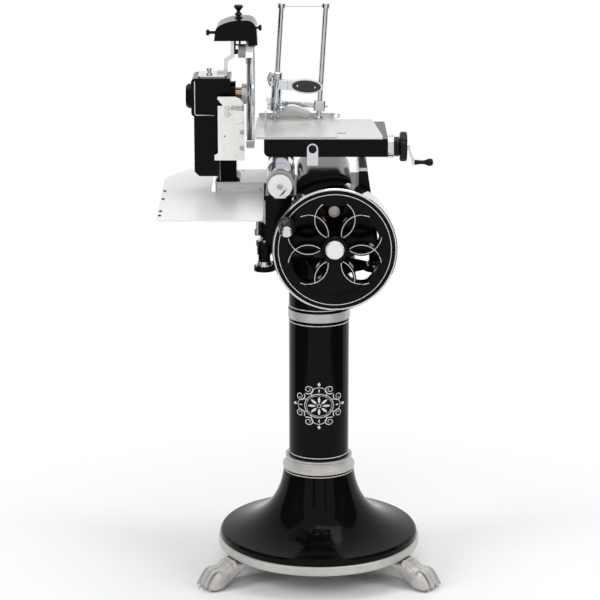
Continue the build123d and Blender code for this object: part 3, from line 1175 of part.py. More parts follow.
# ---- meat clamp, drawn upright at the left rod's foot and then leaned with the rods ----
def clamp_slider():
    """Casting that slides on both rods and reaches forward over the meat."""
    left = rod_z(BOSS_R, 0, 0, CLAMP_H - 4, BOSS_TOP)
    waist = turned([(BOSS_R - 1, 46), (BOSS_R + 6, 40), (BOSS_R + 6, 60), (BOSS_R - 1, 74)])
    waist = waist - turned([(BOSS_R - 3, 56), (BOSS_R - 3, 75), (BOSS_R + 9, 75), (BOSS_R + 9, 56)])
    left = chamfer(left.edges().filter_by(GeomType.CIRCLE), 2)
    dial = rod_y(13, -13, -16, -6, BOSS_TOP - 16)
    right = block(ROD_SPAN - 15, ROD_SPAN + 15, -11, 11, CLAMP_H + 4, CLAMP_H + 30)
    right = fillet(right.edges().filter_by(Axis.Z), 6)
    screw = rod_x(5, ROD_SPAN + 15, ROD_SPAN + 21, 0, CLAMP_H + 17)
    bar = block(0, ROD_SPAN, -7, 7, CLAMP_H + 11, CLAMP_H + 23)
    arm_face = outline([(8, CLAMP_H), (8, CLAMP_H + 28), (-40, CLAMP_H + 34), (PLATE_Y1 - 60, CLAMP_H + 26),
                        (PLATE_Y1 - 60, CLAMP_H + 16), (-40, CLAMP_H + 16)])
    arm = slab_x(arm_face, PLATE_X, PLATE_X + 9)
    foot = block(PLATE_X, 0, -8, 8, CLAMP_H, CLAMP_H + 28)
    lug = block(4, BOSS_R + 14, HANDLE_Y0, 0, HANDLE_Z - 12, HANDLE_Z + 12)
    pin = rod_y(LOCK_PIN_R, LOCK_X, -48, 0, LOCK_Z)
    ball = Pos(LOCK_X, -50, LOCK_Z) * Sphere(7)
    casting = left.fuse(dial, right, screw, bar, arm, foot, lug, pin, ball)
    casting = casting - rod_z(ROD_R + CLAMP_RUN, 0, 0, 0, BOSS_TOP + 5)
    casting = casting - rod_z(ROD_R + CLAMP_RUN, ROD_SPAN, 0, 0, BOSS_TOP)
    return lean(casting, ROD_LEFT)


def toothed_plate():
    """Upright plate that holds the last slices, with a row of teeth along its lower edge."""
    points = [(PLATE_Y0, PLATE_HIGH - 16), (PLATE_Y0 + 16, PLATE_HIGH), (PLATE_Y1, PLATE_HIGH)]
    pitch = 9.5
    teeth = int((PLATE_Y1 - PLATE_Y0) / pitch)
    pitch = (PLATE_Y1 - PLATE_Y0) / teeth
    for k in range(teeth):
        y = PLATE_Y1 - k * pitch
        points.append((y, PLATE_LOW + 9))
        points.append((y - pitch / 2, PLATE_LOW))
    points.append((PLATE_Y0, PLATE_LOW + 9))
    plate = slab_x(outline(points), PLATE_X - 3, PLATE_X)
    return lean(plate, ROD_LEFT)


def clamp_handle():
    """Bright frame of the handle, from the casting's lug to its rounded tip."""
    body = Pos(SCALE_X, HANDLE_Z) * Ellipse(43, 19)
    neck = outline([(BOSS_R + 14, HANDLE_Z - 12), (BOSS_R + 14, HANDLE_Z + 12), (SCALE_X, HANDLE_Z + 18),
                    (SCALE_X, HANDLE_Z - 14)])
    frame = slab_y(body + neck, HANDLE_Y0, HANDLE_Y1)
    return lean(frame, ROD_LEFT)


def handle_scales():
    """Two dark oval scales with the ends of their rivets."""
    scales = []
    for y0, y1, out in ((HANDLE_Y0 - SCALE_T, HANDLE_Y0, -1), (HANDLE_Y1, HANDLE_Y1 + SCALE_T, 1)):
        scale_face = Pos(SCALE_X, HANDLE_Z) * Ellipse(37, 15)
        scale_solid = slab_y(scale_face, y0, y1)
        face = y0 if out < 0 else y1
        rivets = [rod_y(2.2, SCALE_X + dx, min(face, face + out), max(face, face + out), HANDLE_Z)
                  for dx in (-24, 24)]
        scales.append(lean(scale_solid.fuse(*rivets), ROD_LEFT))
    return Compound(scales)


def lock_lever():
    """Curved almond lever that frees the casting from the rods."""
    edges = [
        Line((LOCK_X - 6, LOCK_Z - 9), (LOCK_X - 6, LOCK_Z + 9)),
        Spline((LOCK_X - 6, LOCK_Z + 9), (LOCK_X + 34, LOCK_Z + 8), (LOCK_X + 74, LOCK_Z - 12),
               tangents=((1, 0), (0.5, -1))),
        Spline((LOCK_X + 74, LOCK_Z - 12), (LOCK_X + 56, LOCK_Z - 22), (LOCK_X + 26, LOCK_Z - 17),
               (LOCK_X - 6, LOCK_Z - 9), tangents=((-0.8, -0.7), (-1, 0.1))),
    ]
    lever = slab_y(make_face(edges), -42, -30)
    lever = lever - rod_y(LOCK_PIN_R + RUN, LOCK_X, -60, 0, LOCK_Z)
    return lean(lever, ROD_LEFT)


def bolted(shape, extra=SEAT):
    """Drill the foot bolts' holes through a shape."""
    for hole in foot_bolt_holes(extra):
        shape = shape - hole
    return shape


def drilled_feet():
    return Compound([bolted(Rot(0, 0, a) * claw_foot()) for a in FOOT_ANGLES])


NODES = {
    "claw_feet": drilled_feet,
    "stand_bolts": stand_bolts,
    "base_ring": lambda: bolted(base_ring()),
    "pedestal_base": pedestal_base,
    "column_bands": column_bands,
    "column_tube": column_tube,
    "stand_head": stand_head,
    "foot_cups": foot_cups,
    "machine_base": machine_base,
    "shaft_bushes": shaft_bushes,
    "slide_bar": slide_bar,
    "slide_bar_caps": slide_bar_caps,
    "slide_bar_supports": slide_bar_supports,
    "guide_rail": guide_rail,
    "deck_plate": deck_plate,
    "flywheel": flywheel,
    "flywheel_rim_band": flywheel_rim_band,
    "flywheel_hub_cap": flywheel_hub_cap,
    "flywheel_shaft": flywheel_shaft,
    "drive_gear": drive_gear,
    "handle_pin": handle_pin,
    "flywheel_grip": flywheel_grip,
    "lay_shaft": lay_shaft,
    "cross_shaft": cross_shaft,
    "drive_chain": drive_chain,
    "blade_shaft": blade_shaft,
    "slicing_blade": slicing_blade,
    "blade_hub": blade_hub,
    "blade_housing": blade_housing,
    "housing_cap": housing_cap,
    "housing_top_plate": housing_top_plate,
    "blade_guard": blade_guard,
    "slice_deflector": slice_deflector,
    "deflector_bracket": deflector_bracket,
    "slice_tray": slice_tray,
    "tray_bracket": tray_bracket,
    "sharpener_cover": sharpener_cover,
    "sharpener_post": sharpener_post,
    "sharpener_knob": sharpener_knob,
    "grinding_knob": grinding_knob,
    "grinding_stone": grinding_stone,
    "honing_knob": honing_knob,
    "honing_stone": honing_stone,
    "carriage_body": carriage_body,
    "carriage_top": carriage_top,
    "carriage_runners": carriage_runners,
    "rail_roller": rail_roller,
    "dial_ring": dial_ring,
    "thickness_wheel": thickness_wheel,
    "feed_screw": feed_screw,
    "feed_crank_grip": feed_crank_grip,
    "release_lever": release_lever,
    "release_knob": release_knob,
    "meat_table": meat_table,
    "clamp_rods": clamp_rods,
    "clamp_slider": clamp_slider,
    "toothed_plate": toothed_plate,
    "clamp_handle": clamp_handle,
    "handle_scales": handle_scales,
    "lock_lever": lock_lever,
}

os.makedirs("parts", exist_ok=True)
for name, make in NODES.items():
    export_step(make(), "parts/" + name + ".step")
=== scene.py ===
"""Finishes, trim and studio of a hand crank meat slicer that stands on a cast pedestal.

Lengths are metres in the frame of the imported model: +Z up, the operator stands on the -Y side.
"""

import logging
from dataclasses import dataclass
from enum import Enum
from math import cos, pi, radians, sin, tan
from typing import Sequence

import bmesh
import bpy
import mathutils
import numpy as np
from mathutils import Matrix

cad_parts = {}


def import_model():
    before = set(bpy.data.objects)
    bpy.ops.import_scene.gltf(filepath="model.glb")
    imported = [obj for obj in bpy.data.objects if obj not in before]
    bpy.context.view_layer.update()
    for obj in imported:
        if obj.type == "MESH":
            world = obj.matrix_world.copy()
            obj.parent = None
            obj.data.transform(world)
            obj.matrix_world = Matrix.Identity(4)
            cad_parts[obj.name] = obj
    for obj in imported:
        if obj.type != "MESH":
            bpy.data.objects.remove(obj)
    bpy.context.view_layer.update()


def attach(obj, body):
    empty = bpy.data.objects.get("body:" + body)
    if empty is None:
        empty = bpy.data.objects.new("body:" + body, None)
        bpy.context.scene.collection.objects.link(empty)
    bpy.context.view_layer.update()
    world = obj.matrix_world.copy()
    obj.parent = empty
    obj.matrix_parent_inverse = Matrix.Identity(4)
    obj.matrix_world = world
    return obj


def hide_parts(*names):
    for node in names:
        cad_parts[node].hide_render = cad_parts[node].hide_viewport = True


LOG = logging.getLogger("slicer")
Colour = tuple[float, float, float, float]
Point = tuple[float, float, float]
Flat = tuple[float, float]
Socket = str | int
Piece = bpy.types.Object
Tree = bpy.types.NodeTree
TO_OPERATOR = np.array([0.0, -1.0, 0.0])
MERGE = 1e-6


# ---------------------------------------------------------------- finishes
def add_node(tree: Tree, kind: str, name: str, **values: float | str | Point) -> bpy.types.Node:
    """Add a shader node and set it up.

    Args:
        tree: the node tree that gets the node.
        kind: Blender's node type, without its first word.
        name: the name that wire() uses.
        values: input sockets by name, spaces as underscores, or properties of the node in small letters.

    Returns:
        The new node.
    """
    node = tree.nodes.new("ShaderNode" + kind)
    node.name = name
    for key, value in values.items():
        if key[0].islower():
            setattr(node, key, value)
        else:
            node.inputs[key.replace("_", " ")].default_value = value
    return node


def wire(tree: Tree, *joins: tuple[str, Socket, str, Socket]) -> None:
    """Join sockets, each join given as node, output, node and input; a socket goes by its name or number."""
    for start, output, end, entry in joins:
        tree.links.new(tree.nodes[start].outputs[output], tree.nodes[end].inputs[entry])


def named_shader(material: bpy.types.Material) -> bpy.types.Node:
    """Turn a material's nodes on and give its surface shader the name that wire() uses.

    Args:
        material: a new material.

    Returns:
        The surface shader.
    """
    material.use_nodes = True
    shader = material.node_tree.nodes["Principled BSDF"]
    shader.name = "shader"
    return shader


@dataclass(frozen=True)
class Finish:
    """A surface: base colour with soft variation, roughness range and fine relief.

    The colour and the roughness follow one noise in object space, stretched along the brushing. Where a centre is
    given, the brushing runs in rings round the axis through it. Painted shade is the share of the colour taken away
    in crevices that ambient occlusion finds.
    """

    name: str
    colour: Colour
    other: Colour
    rough_low: float
    rough_high: float
    metallic: float = 0.0
    coat: float = 0.0
    coat_rough: float = 0.03
    scale: float = 40.0
    stretch: Point = (1.0, 1.0, 1.0)
    relief: float = 0.0
    relief_scale: float = 600.0
    relief_depth: float = 0.0004
    edge: float = 0.0
    ior: float = 1.5
    painted_shade: float = 0.0
    painted_shade_reach: float = 0.012
    painted_shade_ao_range: Flat = (0.35, 0.9)
    centre: Point | None = None
    about: int = 0
    ring_drift: float = 0.06

    def build(self) -> bpy.types.Material:
        """Make the node material.

        Returns:
            The finished material.
        """
        material = bpy.data.materials.new(self.name)
        shader = named_shader(material)
        tree = material.node_tree
        for socket, value in (("Metallic", self.metallic), ("IOR", self.ior), ("Coat Weight", self.coat),
                              ("Coat Roughness", self.coat_rough)):
            shader.inputs[socket].default_value = value
        add_node(tree, "TexCoord", "place")
        add_node(tree, "Mapping", "stretch", Scale=self.stretch)
        add_node(tree, "TexNoise", "grain", Scale=self.scale, Detail=5.0, Roughness=0.6)
        tones = add_node(tree, "Mix", "tones", data_type="RGBA")
        tones.inputs[6].default_value = self.colour
        tones.inputs[7].default_value = self.other
        add_node(tree, "MapRange", "rough", To_Min=self.rough_low, To_Max=self.rough_high)
        wire(tree, (*self.start(tree), "stretch", "Vector"), ("stretch", "Vector", "grain", "Vector"),
             ("grain", "Fac", "tones", 0), ("grain", "Fac", "rough", "Value"),
             ("rough", "Result", "shader", "Roughness"))
        self.add_colour(tree)
        self.add_relief(tree)
        return material

    def start(self, tree: Tree) -> tuple[str, str]:
        """Choose the coordinates: the object's own, or for a turned face ones that follow its rings.

        Of the rings' coordinates, the first is the distance from the axis and the others are nearly still.

        Args:
            tree: the nodes under construction.

        Returns:
            The node and output that give the coordinates.
        """
        if self.centre is None:
            return "place", "Object"
        inward = add_node(tree, "VectorMath", "inward", operation="SUBTRACT")
        inward.inputs[1].default_value = self.centre
        flat = add_node(tree, "VectorMath", "flat", operation="MULTIPLY")
        flat.inputs[1].default_value = [0.0 if axis == self.about else 1.0 for axis in range(3)]
        add_node(tree, "VectorMath", "away", operation="LENGTH")
        add_node(tree, "VectorMath", "slow", operation="SCALE", Scale=self.ring_drift)
        add_node(tree, "CombineXYZ", "rings")
        add_node(tree, "VectorMath", "whole", operation="ADD")
        wire(tree, ("place", "Object", "inward", 0), ("inward", 0, "flat", 0), ("flat", 0, "away", 0),
             ("inward", 0, "slow", 0), ("away", "Value", "rings", "X"), ("rings", 0, "whole", 0),
             ("slow", 0, "whole", 1))
        return "whole", "Vector"

    def add_colour(self, tree: Tree) -> None:
        """Join the tones to the shader, with painted shade that darkens the colour in crevices where ambient
        occlusion finds them.

        Args:
            tree: the nodes under construction.
        """
        if self.painted_shade <= 0.0:
            wire(tree, ("tones", 2, "shader", "Base Color"))
            return
        # painted shade: ambient occlusion darkens the base colour in crevices
        add_node(tree, "AmbientOcclusion", "crevice", samples=6, Distance=self.painted_shade_reach)
        add_node(tree, "MapRange", "keep", From_Min=self.painted_shade_ao_range[0], From_Max=self.painted_shade_ao_range[1],
                 To_Min=1.0 - self.painted_shade, To_Max=1.0)
        darker = add_node(tree, "Mix", "darker", data_type="RGBA", blend_type="MULTIPLY")
        darker.inputs[0].default_value = 1.0
        wire(tree, ("crevice", "AO", "keep", "Value"), ("tones", 2, "darker", 6), ("keep", "Result", "darker", 7),
             ("darker", 2, "shader", "Base Color"))

    def add_relief(self, tree: Tree) -> None:
        """Add the fine bump of the surface and, where wanted, softly rounded edges.

        Args:
            tree: the nodes under construction.
        """
        if self.relief <= 0.0 and self.edge <= 0.0:
            return
        add_node(tree, "Bump", "bump", Strength=self.relief, Distance=self.relief_depth)
        add_node(tree, "TexNoise", "fine", Scale=self.relief_scale, Detail=3.0)
        wire(tree, ("stretch", "Vector", "fine", "Vector"), ("fine", "Fac", "bump", "Height"),
             ("bump", "Normal", "shader", "Normal"))
        if self.edge > 0.0:
            add_node(tree, "Bevel", "rounding", samples=4, Radius=self.edge)
            wire(tree, ("rounding", "Normal", "bump", "Normal"))


ENAMEL = Finish("black_enamel", (0.0022, 0.0022, 0.0024, 1), (0.0035, 0.0035, 0.0038, 1), 0.07, 0.13, scale=9.0,
                relief=0.02, relief_scale=240.0, edge=0.0016, ior=1.17)
CHROME = Finish("chrome", (0.68, 0.70, 0.72, 1), (0.58, 0.60, 0.63, 1), 0.04, 0.10, metallic=1.0, scale=30.0,
                edge=0.0012)
# the silver casting gets painted shade in its crevices
SILVER = Finish("silver_casting", (0.61, 0.59, 0.565, 1), (0.44, 0.42, 0.40, 1), 0.34, 0.50, metallic=0.75,
                scale=34.0, relief=0.45, relief_scale=380.0, edge=0.0012, painted_shade=0.55)
STEEL = Finish("steel", (0.56, 0.57, 0.575, 1), (0.42, 0.43, 0.435, 1), 0.22, 0.36, metallic=1.0, scale=50.0,
               relief=0.10, relief_scale=500.0, edge=0.0008)
GUARD = Finish("satin_guard", (0.70, 0.73, 0.71, 1), (0.62, 0.65, 0.63, 1), 0.22, 0.32, metallic=0.35,
               scale=24.0, relief=0.04, relief_scale=300.0, edge=0.0010)
PLATE = Finish("plate_steel", (0.64, 0.645, 0.62, 1), (0.60, 0.605, 0.58, 1), 0.24, 0.34, metallic=0.3,
               scale=18.0, stretch=(1.0, 14.0, 14.0), relief=0.05, relief_scale=120.0, edge=0.0008)
BLADE = Finish("blade_steel", (0.66, 0.67, 0.68, 1), (0.50, 0.51, 0.52, 1), 0.12, 0.24, metallic=1.0, scale=900.0,
               relief=0.06, relief_scale=900.0, edge=0.0004, centre=(-0.168, 0.0, 1.260), about=0)
TURNED = Finish("turned_steel", (0.84, 0.84, 0.83, 1), (0.78, 0.78, 0.77, 1), 0.16, 0.26, metallic=0.5, scale=700.0,
                relief=0.06, relief_scale=1100.0, edge=0.0008, centre=(0.036, -0.252, 0.916), about=1)
CAP_FACE = Finish("cap_face", (0.82, 0.80, 0.78, 1), (0.77, 0.75, 0.73, 1), 0.24, 0.34, metallic=0.35, scale=500.0,
                  relief=0.02, relief_scale=900.0, edge=0.0010, centre=(-0.098, -0.2, 1.0635), about=1)
CREAM = Finish("cream_enamel", (0.83, 0.82, 0.775, 1), (0.79, 0.775, 0.725, 1), 0.20, 0.32, coat=0.5,
               coat_rough=0.05, scale=16.0, relief=0.03, relief_scale=300.0, edge=0.0010)
TRAY_WHITE = Finish("tray_white", (0.82, 0.81, 0.805, 1), (0.79, 0.78, 0.775, 1), 0.26, 0.38, coat=0.15,
                    coat_rough=0.05, scale=7.0, relief=0.03, relief_scale=220.0, edge=0.0010)
IRON = Finish("cast_iron", (0.09, 0.09, 0.095, 1), (0.05, 0.05, 0.052, 1), 0.38, 0.55, metallic=0.9, scale=60.0,
              relief=0.25, edge=0.0006)
GRIP = Finish("black_grip", (0.006, 0.006, 0.0065, 1), (0.012, 0.012, 0.0125, 1), 0.16, 0.28, scale=30.0,
              relief=0.04, edge=0.0010, ior=1.24)
STONE = Finish("stone", (0.42, 0.41, 0.39, 1), (0.26, 0.25, 0.24, 1), 0.75, 0.92, scale=420.0, relief=0.8,
               relief_scale=1500.0, edge=0.0006)
SATIN = Finish("satin_nickel", (0.56, 0.56, 0.54, 1), (0.50, 0.50, 0.48, 1), 0.20, 0.30, metallic=0.85, scale=40.0,
               relief=0.05, relief_scale=400.0)
HORN = Finish("dark_horn", (0.030, 0.028, 0.024, 1), (0.048, 0.045, 0.039, 1), 0.38, 0.52, scale=60.0,
              stretch=(1.0, 8.0, 8.0), relief=0.12, relief_scale=500.0, edge=0.0008, ior=1.35)
BRONZE = Finish("bronze", (0.50, 0.36, 0.27, 1), (0.36, 0.25, 0.18, 1), 0.16, 0.28, metallic=1.0, scale=60.0,
                relief=0.08)
STRIPE = Finish("silver_paint", (0.72, 0.72, 0.71, 1), (0.60, 0.60, 0.59, 1), 0.30, 0.42, metallic=0.25,
                scale=300.0)
FINISHES = (ENAMEL, CHROME, SILVER, STEEL, GUARD, PLATE, BLADE, TURNED, CAP_FACE, CREAM, TRAY_WHITE, IRON, GRIP,
            STONE, SATIN, HORN, BRONZE, STRIPE)
Groups = list[tuple[Sequence[Piece], Finish, str]]


class Palette:
    """All finishes as built materials, by name."""

    def __init__(self) -> None:
        """Build every finish once."""
        self.materials = {finish.name: finish.build() for finish in FINISHES}

    def dress(self, obj: Piece, finish: Finish) -> None:
        """Give an object one finish.

        Args:
            obj: the object to dress.
            finish: the finish to put on.
        """
        material = self.materials[finish.name]
        if obj.material_slots:
            for one in obj.material_slots:
                one.material = material
        else:
            obj.data.materials.append(material)


class Trim:
    """A sub-assembly of added pieces, which pieces() makes in groups of one finish and one body."""

    def pieces(self) -> Groups:
        """Make the pieces, in groups with their finish and the body that they ride on."""
        raise NotImplementedError

    def build(self, palette: Palette) -> list[Piece]:
        """Make the pieces, dress them and let them ride on their bodies.

        Args:
            palette: the built finishes.

        Returns:
            The pieces.
        """
        done = []
        for group, finish, body in self.pieces():
            for piece in group:
                palette.dress(piece, finish)
                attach(piece, body)
                done.append(piece)
        return done


# ---------------------------------------------------------------- surfaces
def mesh_object(name: str, points: np.ndarray, faces: Sequence[Sequence[int]]) -> Piece:
    """Put points and faces into a new mesh object.

    Args:
        name: name of the object and its mesh.
        points: array of vertex places.
        faces: vertex numbers of each face.

    Returns:
        The new object, linked to the scene.
    """
    mesh = bpy.data.meshes.new(name)
    mesh.from_pydata(points.tolist(), [], faces)
    obj = bpy.data.objects.new(name, mesh)
    bpy.context.scene.collection.objects.link(obj)
    return obj


def surface(name: str, points: np.ndarray, loop: bool = False, smooth: bool = True) -> Piece:
    """Mesh object from a grid of points whose rows are closed, with doubles merged and faces turned outwards.

    The quad at row i and column j joins the points i, i + 1 and j, j + 1, counted round where they close.

    Args:
        name: the piece's name.
        points: array of shape (rows, columns, 3).
        loop: join the last row to the first.
        smooth: shade the faces smoothly.

    Returns:
        The new object.
    """
    rows, columns = points.shape[:2]
    i, j = np.meshgrid(np.arange(rows if loop else rows - 1), np.arange(columns), indexing="ij")
    i, j = i.ravel(), j.ravel()
    here, up, along = i * columns, (i + 1) % rows * columns, (j + 1) % columns
    faces = np.stack([here + j, here + along, up + along, up + j], axis=1)
    obj = mesh_object(name, points.reshape(-1, 3), faces.tolist())
    work = bmesh.new()
    work.from_mesh(obj.data)
    bmesh.ops.remove_doubles(work, verts=work.verts, dist=MERGE)
    bmesh.ops.dissolve_degenerate(work, edges=work.edges, dist=MERGE / 10)
    bmesh.ops.recalc_face_normals(work, faces=work.faces)
    for face in work.faces:
        face.smooth = smooth
    work.to_mesh(obj.data)
    work.free()
    return obj


def capped(points: np.ndarray, both: bool = True) -> np.ndarray:
    """Close a grid of points to a pole, the middle of its row, before the first and for both after the last row."""
    first, last = (np.broadcast_to(row.mean(axis=0), row.shape)[None] for row in (points[0], points[-1]))
    return np.concatenate([first, points, last] if both else [first, points])


def once_round(count: int) -> np.ndarray:
    """Even angles of one full turn in radians, as a row."""
    return np.linspace(0.0, 2 * pi, count, endpoint=False)[None, :]


def rounded(corners: Sequence[Flat], radius: float, steps: int) -> np.ndarray:
    """Line with each inner corner replaced by a short curve.

    Each corner becomes a quadratic curve that leaves one side and joins the next at the given distance, or at
    just under half the side where that is shorter.

    Args:
        corners: points of the line.
        radius: distance from the corner at which the curve starts.
        steps: parts of each curve.

    Returns:
        Array of points.
    """
    corner = np.asarray(corners, float)
    result = [corner[0]]
    t = np.linspace(0.0, 1.0, steps + 1)[:, None]
    for before, here, after in zip(corner[:-2], corner[1:-1], corner[2:]):
        back, on = before - here, after - here
        length_back, length_on = float(np.hypot(*back)), float(np.hypot(*on))
        start = here + back / length_back * min(radius, 0.45 * length_back)
        end = here + on / length_on * min(radius, 0.45 * length_on)
        result.extend((1 - t) ** 2 * start + 2 * t * (1 - t) * here + t ** 2 * end)
    result.append(corner[-1])
    return np.asarray(result)


def eased(x: np.ndarray, at: Sequence[float], values: Sequence[float]) -> np.ndarray:
    """Smooth curve through a few values: straight parts between them, averaged over a short window.

    Args:
        x: places at which the curve is wanted.
        at: places of the values.
        values: the values.

    Returns:
        The curve's heights.
    """
    fine = np.linspace(at[0], at[-1], 241)
    window = np.hanning(31)
    level = np.pad(np.interp(fine, at, values), len(window) // 2, mode="edge")
    return np.interp(x, fine, np.convolve(level, window / window.sum(), mode="valid"))


def join(name: str, pieces: Sequence[Piece]) -> Piece:
    """Join several mesh objects into one.

    Args:
        name: name of the joined piece.
        pieces: objects to join.

    Returns:
        The joined object.
    """
    first = pieces[0]
    with bpy.context.temp_override(active_object=first, selected_editable_objects=list(pieces)):
        bpy.ops.object.join()
    first.name = name
    first.data.name = name
    return first


# ---------------------------------------------------------------- painted lines
def painted(name: str, path: np.ndarray, out: np.ndarray, width: float | np.ndarray, rise: float = 0.00035,
            closed: bool = False) -> Piece:
    """Painted line along a path: a low arched strip that stands just proud of the surface.

    Its width runs along the cross product of the path's direction and the outward one. Its section goes up from
    below the surface, over the arch and down again.

    Args:
        name: the piece's name.
        path: points along the middle of the line, shape (n, 3).
        out: outward direction at each point, or one for all.
        width: width of the line, or one for each point.
        rise: how far its middle stands proud.
        closed: join the end to the start.

    Returns:
        The new object.
    """
    out = np.broadcast_to(np.asarray(out, float), path.shape)
    along = np.roll(path, -1, 0) - np.roll(path, 1, 0) if closed else np.gradient(path, axis=0)
    across = np.cross(along, out)
    across = across / np.linalg.norm(across, axis=1, keepdims=True)
    sideways = np.array([-0.5, -0.5, -0.2, 0.2, 0.5, 0.5])
    height = rise * np.array([-0.6, 0.3, 1.0, 1.0, 0.3, -0.6])
    reach = np.reshape(width, (-1, 1)) * sideways
    points = path[:, None] + across[:, None] * reach[..., None] + out[:, None] * height[None, :, None]
    return surface(name, points if closed else capped(points), closed)


def polar(angle: np.ndarray | float, radius: float | np.ndarray, centre: Flat = (0.0, 0.0)) -> np.ndarray:
    """Flat points at angles in degrees and radii about a centre."""
    turn = np.radians(angle)
    return np.stack([centre[0] + radius * np.cos(turn), centre[1] + radius * np.sin(turn)], axis=-1)


def on_front(flat: np.ndarray, y: float) -> np.ndarray:
    """Points (x, z) set on the plane at depth y."""
    return np.stack([flat[:, 0], np.full(len(flat), y), flat[:, 1]], axis=1)


@dataclass(frozen=True)
class ColumnPaint(Trim):
    """Silver rings round the column and the top of the bell, and the scroll ornament on the front."""

    column_r: float = 0.0775
    line: float = 0.0022
    line_rise: float = 0.0005
    rings: tuple[Flat, ...] = ((0.0775, 0.715), (0.0775, 0.675), (0.0775, 0.321), (0.0917, 0.274))
    middle: float = 0.464
    spread: float = 1.22
    stroke_rise: float = 0.0004
    circles: tuple[Flat, ...] = ((0.0315, 0.0021), (0.0275, 0.0010), (0.0042, 0.0016))
    leaves: int = 8
    leaf_at: Flat = (0.007, 0.0175)
    leaf_width: Flat = (0.0003, 0.0062)
    bow_r: float = 0.0165
    bow_at: float = 0.0325
    bow_swing: float = 118.0
    bow_width: float = 0.0017
    lozenge_at: Flat = (0.0515, 0.0115)
    lozenge_width: Flat = (0.0003, 0.0085)
    bud_at: Flat = (0.036, 0.0095)
    bud_share: float = 0.55
    scroll_at: float = 0.0485
    scroll_off: float = 17.0
    scroll_r: float = 0.0125
    scroll_lead: float = 62.0
    scroll_turn: float = 560.0
    scroll_width: Flat = (0.0008, 0.0019)

    def lines(self) -> Piece:
        """Make the rings: circles of the given radius at the given height.

        Returns:
            The joined rings.
        """
        flat = polar(np.linspace(0.0, 360.0, 180, endpoint=False), 1.0)
        out = np.column_stack([flat, np.zeros(len(flat))])
        return join("column_lines", [
            painted("column_ring", out * radius + np.array([0.0, 0.0, height]), out, self.line, self.line_rise, True)
            for radius, height in self.rings])

    def wrapped(self, flat: np.ndarray, width: float | np.ndarray, closed: bool = False) -> Piece:
        """Painted line wrapped on the column: x = r sin(s / r), y = -r cos(s / r), z = middle + t.

        Args:
            flat: points (s, t) along and up the surface, from the ornament's middle.
            width: width of the line.
            closed: join the end to the start.

        Returns:
            The new object.
        """
        turn = flat[:, 0] * self.spread / self.column_r
        out = np.stack([np.sin(turn), -np.cos(turn), np.zeros(len(turn))], axis=1)
        path = out * self.column_r + np.array([0.0, 0.0, self.middle])
        path[:, 2] += flat[:, 1]
        return painted("ornament_line", path, out, width, self.stroke_rise, closed)

    def scroll(self, angle: float, hand: float) -> Piece:
        """Scroll beside the ring: a spiral whose radius and line shrink as it turns.

        Args:
            angle: direction of the scroll's eye from the middle, in degrees.
            hand: +1 or -1, the way it winds.

        Returns:
            The painted scroll.
        """
        t = np.linspace(0.0, 1.0, 64)
        radius = self.scroll_r * (1.0 - 0.78 * t ** 0.8)
        spiral = polar(angle + 180.0 - hand * self.scroll_lead + hand * self.scroll_turn * t, radius)
        width = self.scroll_width[0] + self.scroll_width[1] * (1.0 - t) ** 0.6
        return self.wrapped(polar(angle, self.scroll_at) + spiral, width)

    def ornament(self) -> Piece:
        """Make the ornament: three circles, a rosette, four bows, eight scrolls, four lozenges and four buds.

        Returns:
            The joined ornament.
        """
        turn = np.linspace(0.0, 360.0, 120, endpoint=False)
        pieces = [self.wrapped(polar(turn, radius), width, True) for radius, width in self.circles]
        t = np.linspace(0.0, 1.0, 24)
        leaf = self.leaf_width[0] + self.leaf_width[1] * np.sin(pi * t) ** 0.8
        lozenge = self.lozenge_width[0] + self.lozenge_width[1] * (1.0 - np.abs(2.0 * t - 1.0))
        rays = [(360.0 * k / self.leaves, self.leaf_at, leaf) for k in range(self.leaves)]
        bow = np.linspace(-self.bow_swing, self.bow_swing, 48)
        for side in (0.0, 90.0, 180.0, 270.0):
            flat = polar(side + bow, self.bow_r, polar(side, self.bow_at))
            pieces.append(self.wrapped(flat, self.bow_width))
            rays += [(side, self.lozenge_at, lozenge), (side, self.bud_at, self.bud_share * leaf)]
            for hand in (1.0, -1.0):
                pieces.append(self.scroll(side + 45.0 - hand * self.scroll_off, hand))
        for angle, (start, length), width in rays:
            pieces.append(self.wrapped(polar(np.full(len(t), angle), start + length * t), width))
        return join("column_ornament", pieces)

    def pieces(self) -> Groups:
        """Make the rings and the ornament."""
        return [([self.lines(), self.ornament()], STRIPE, "stand")]


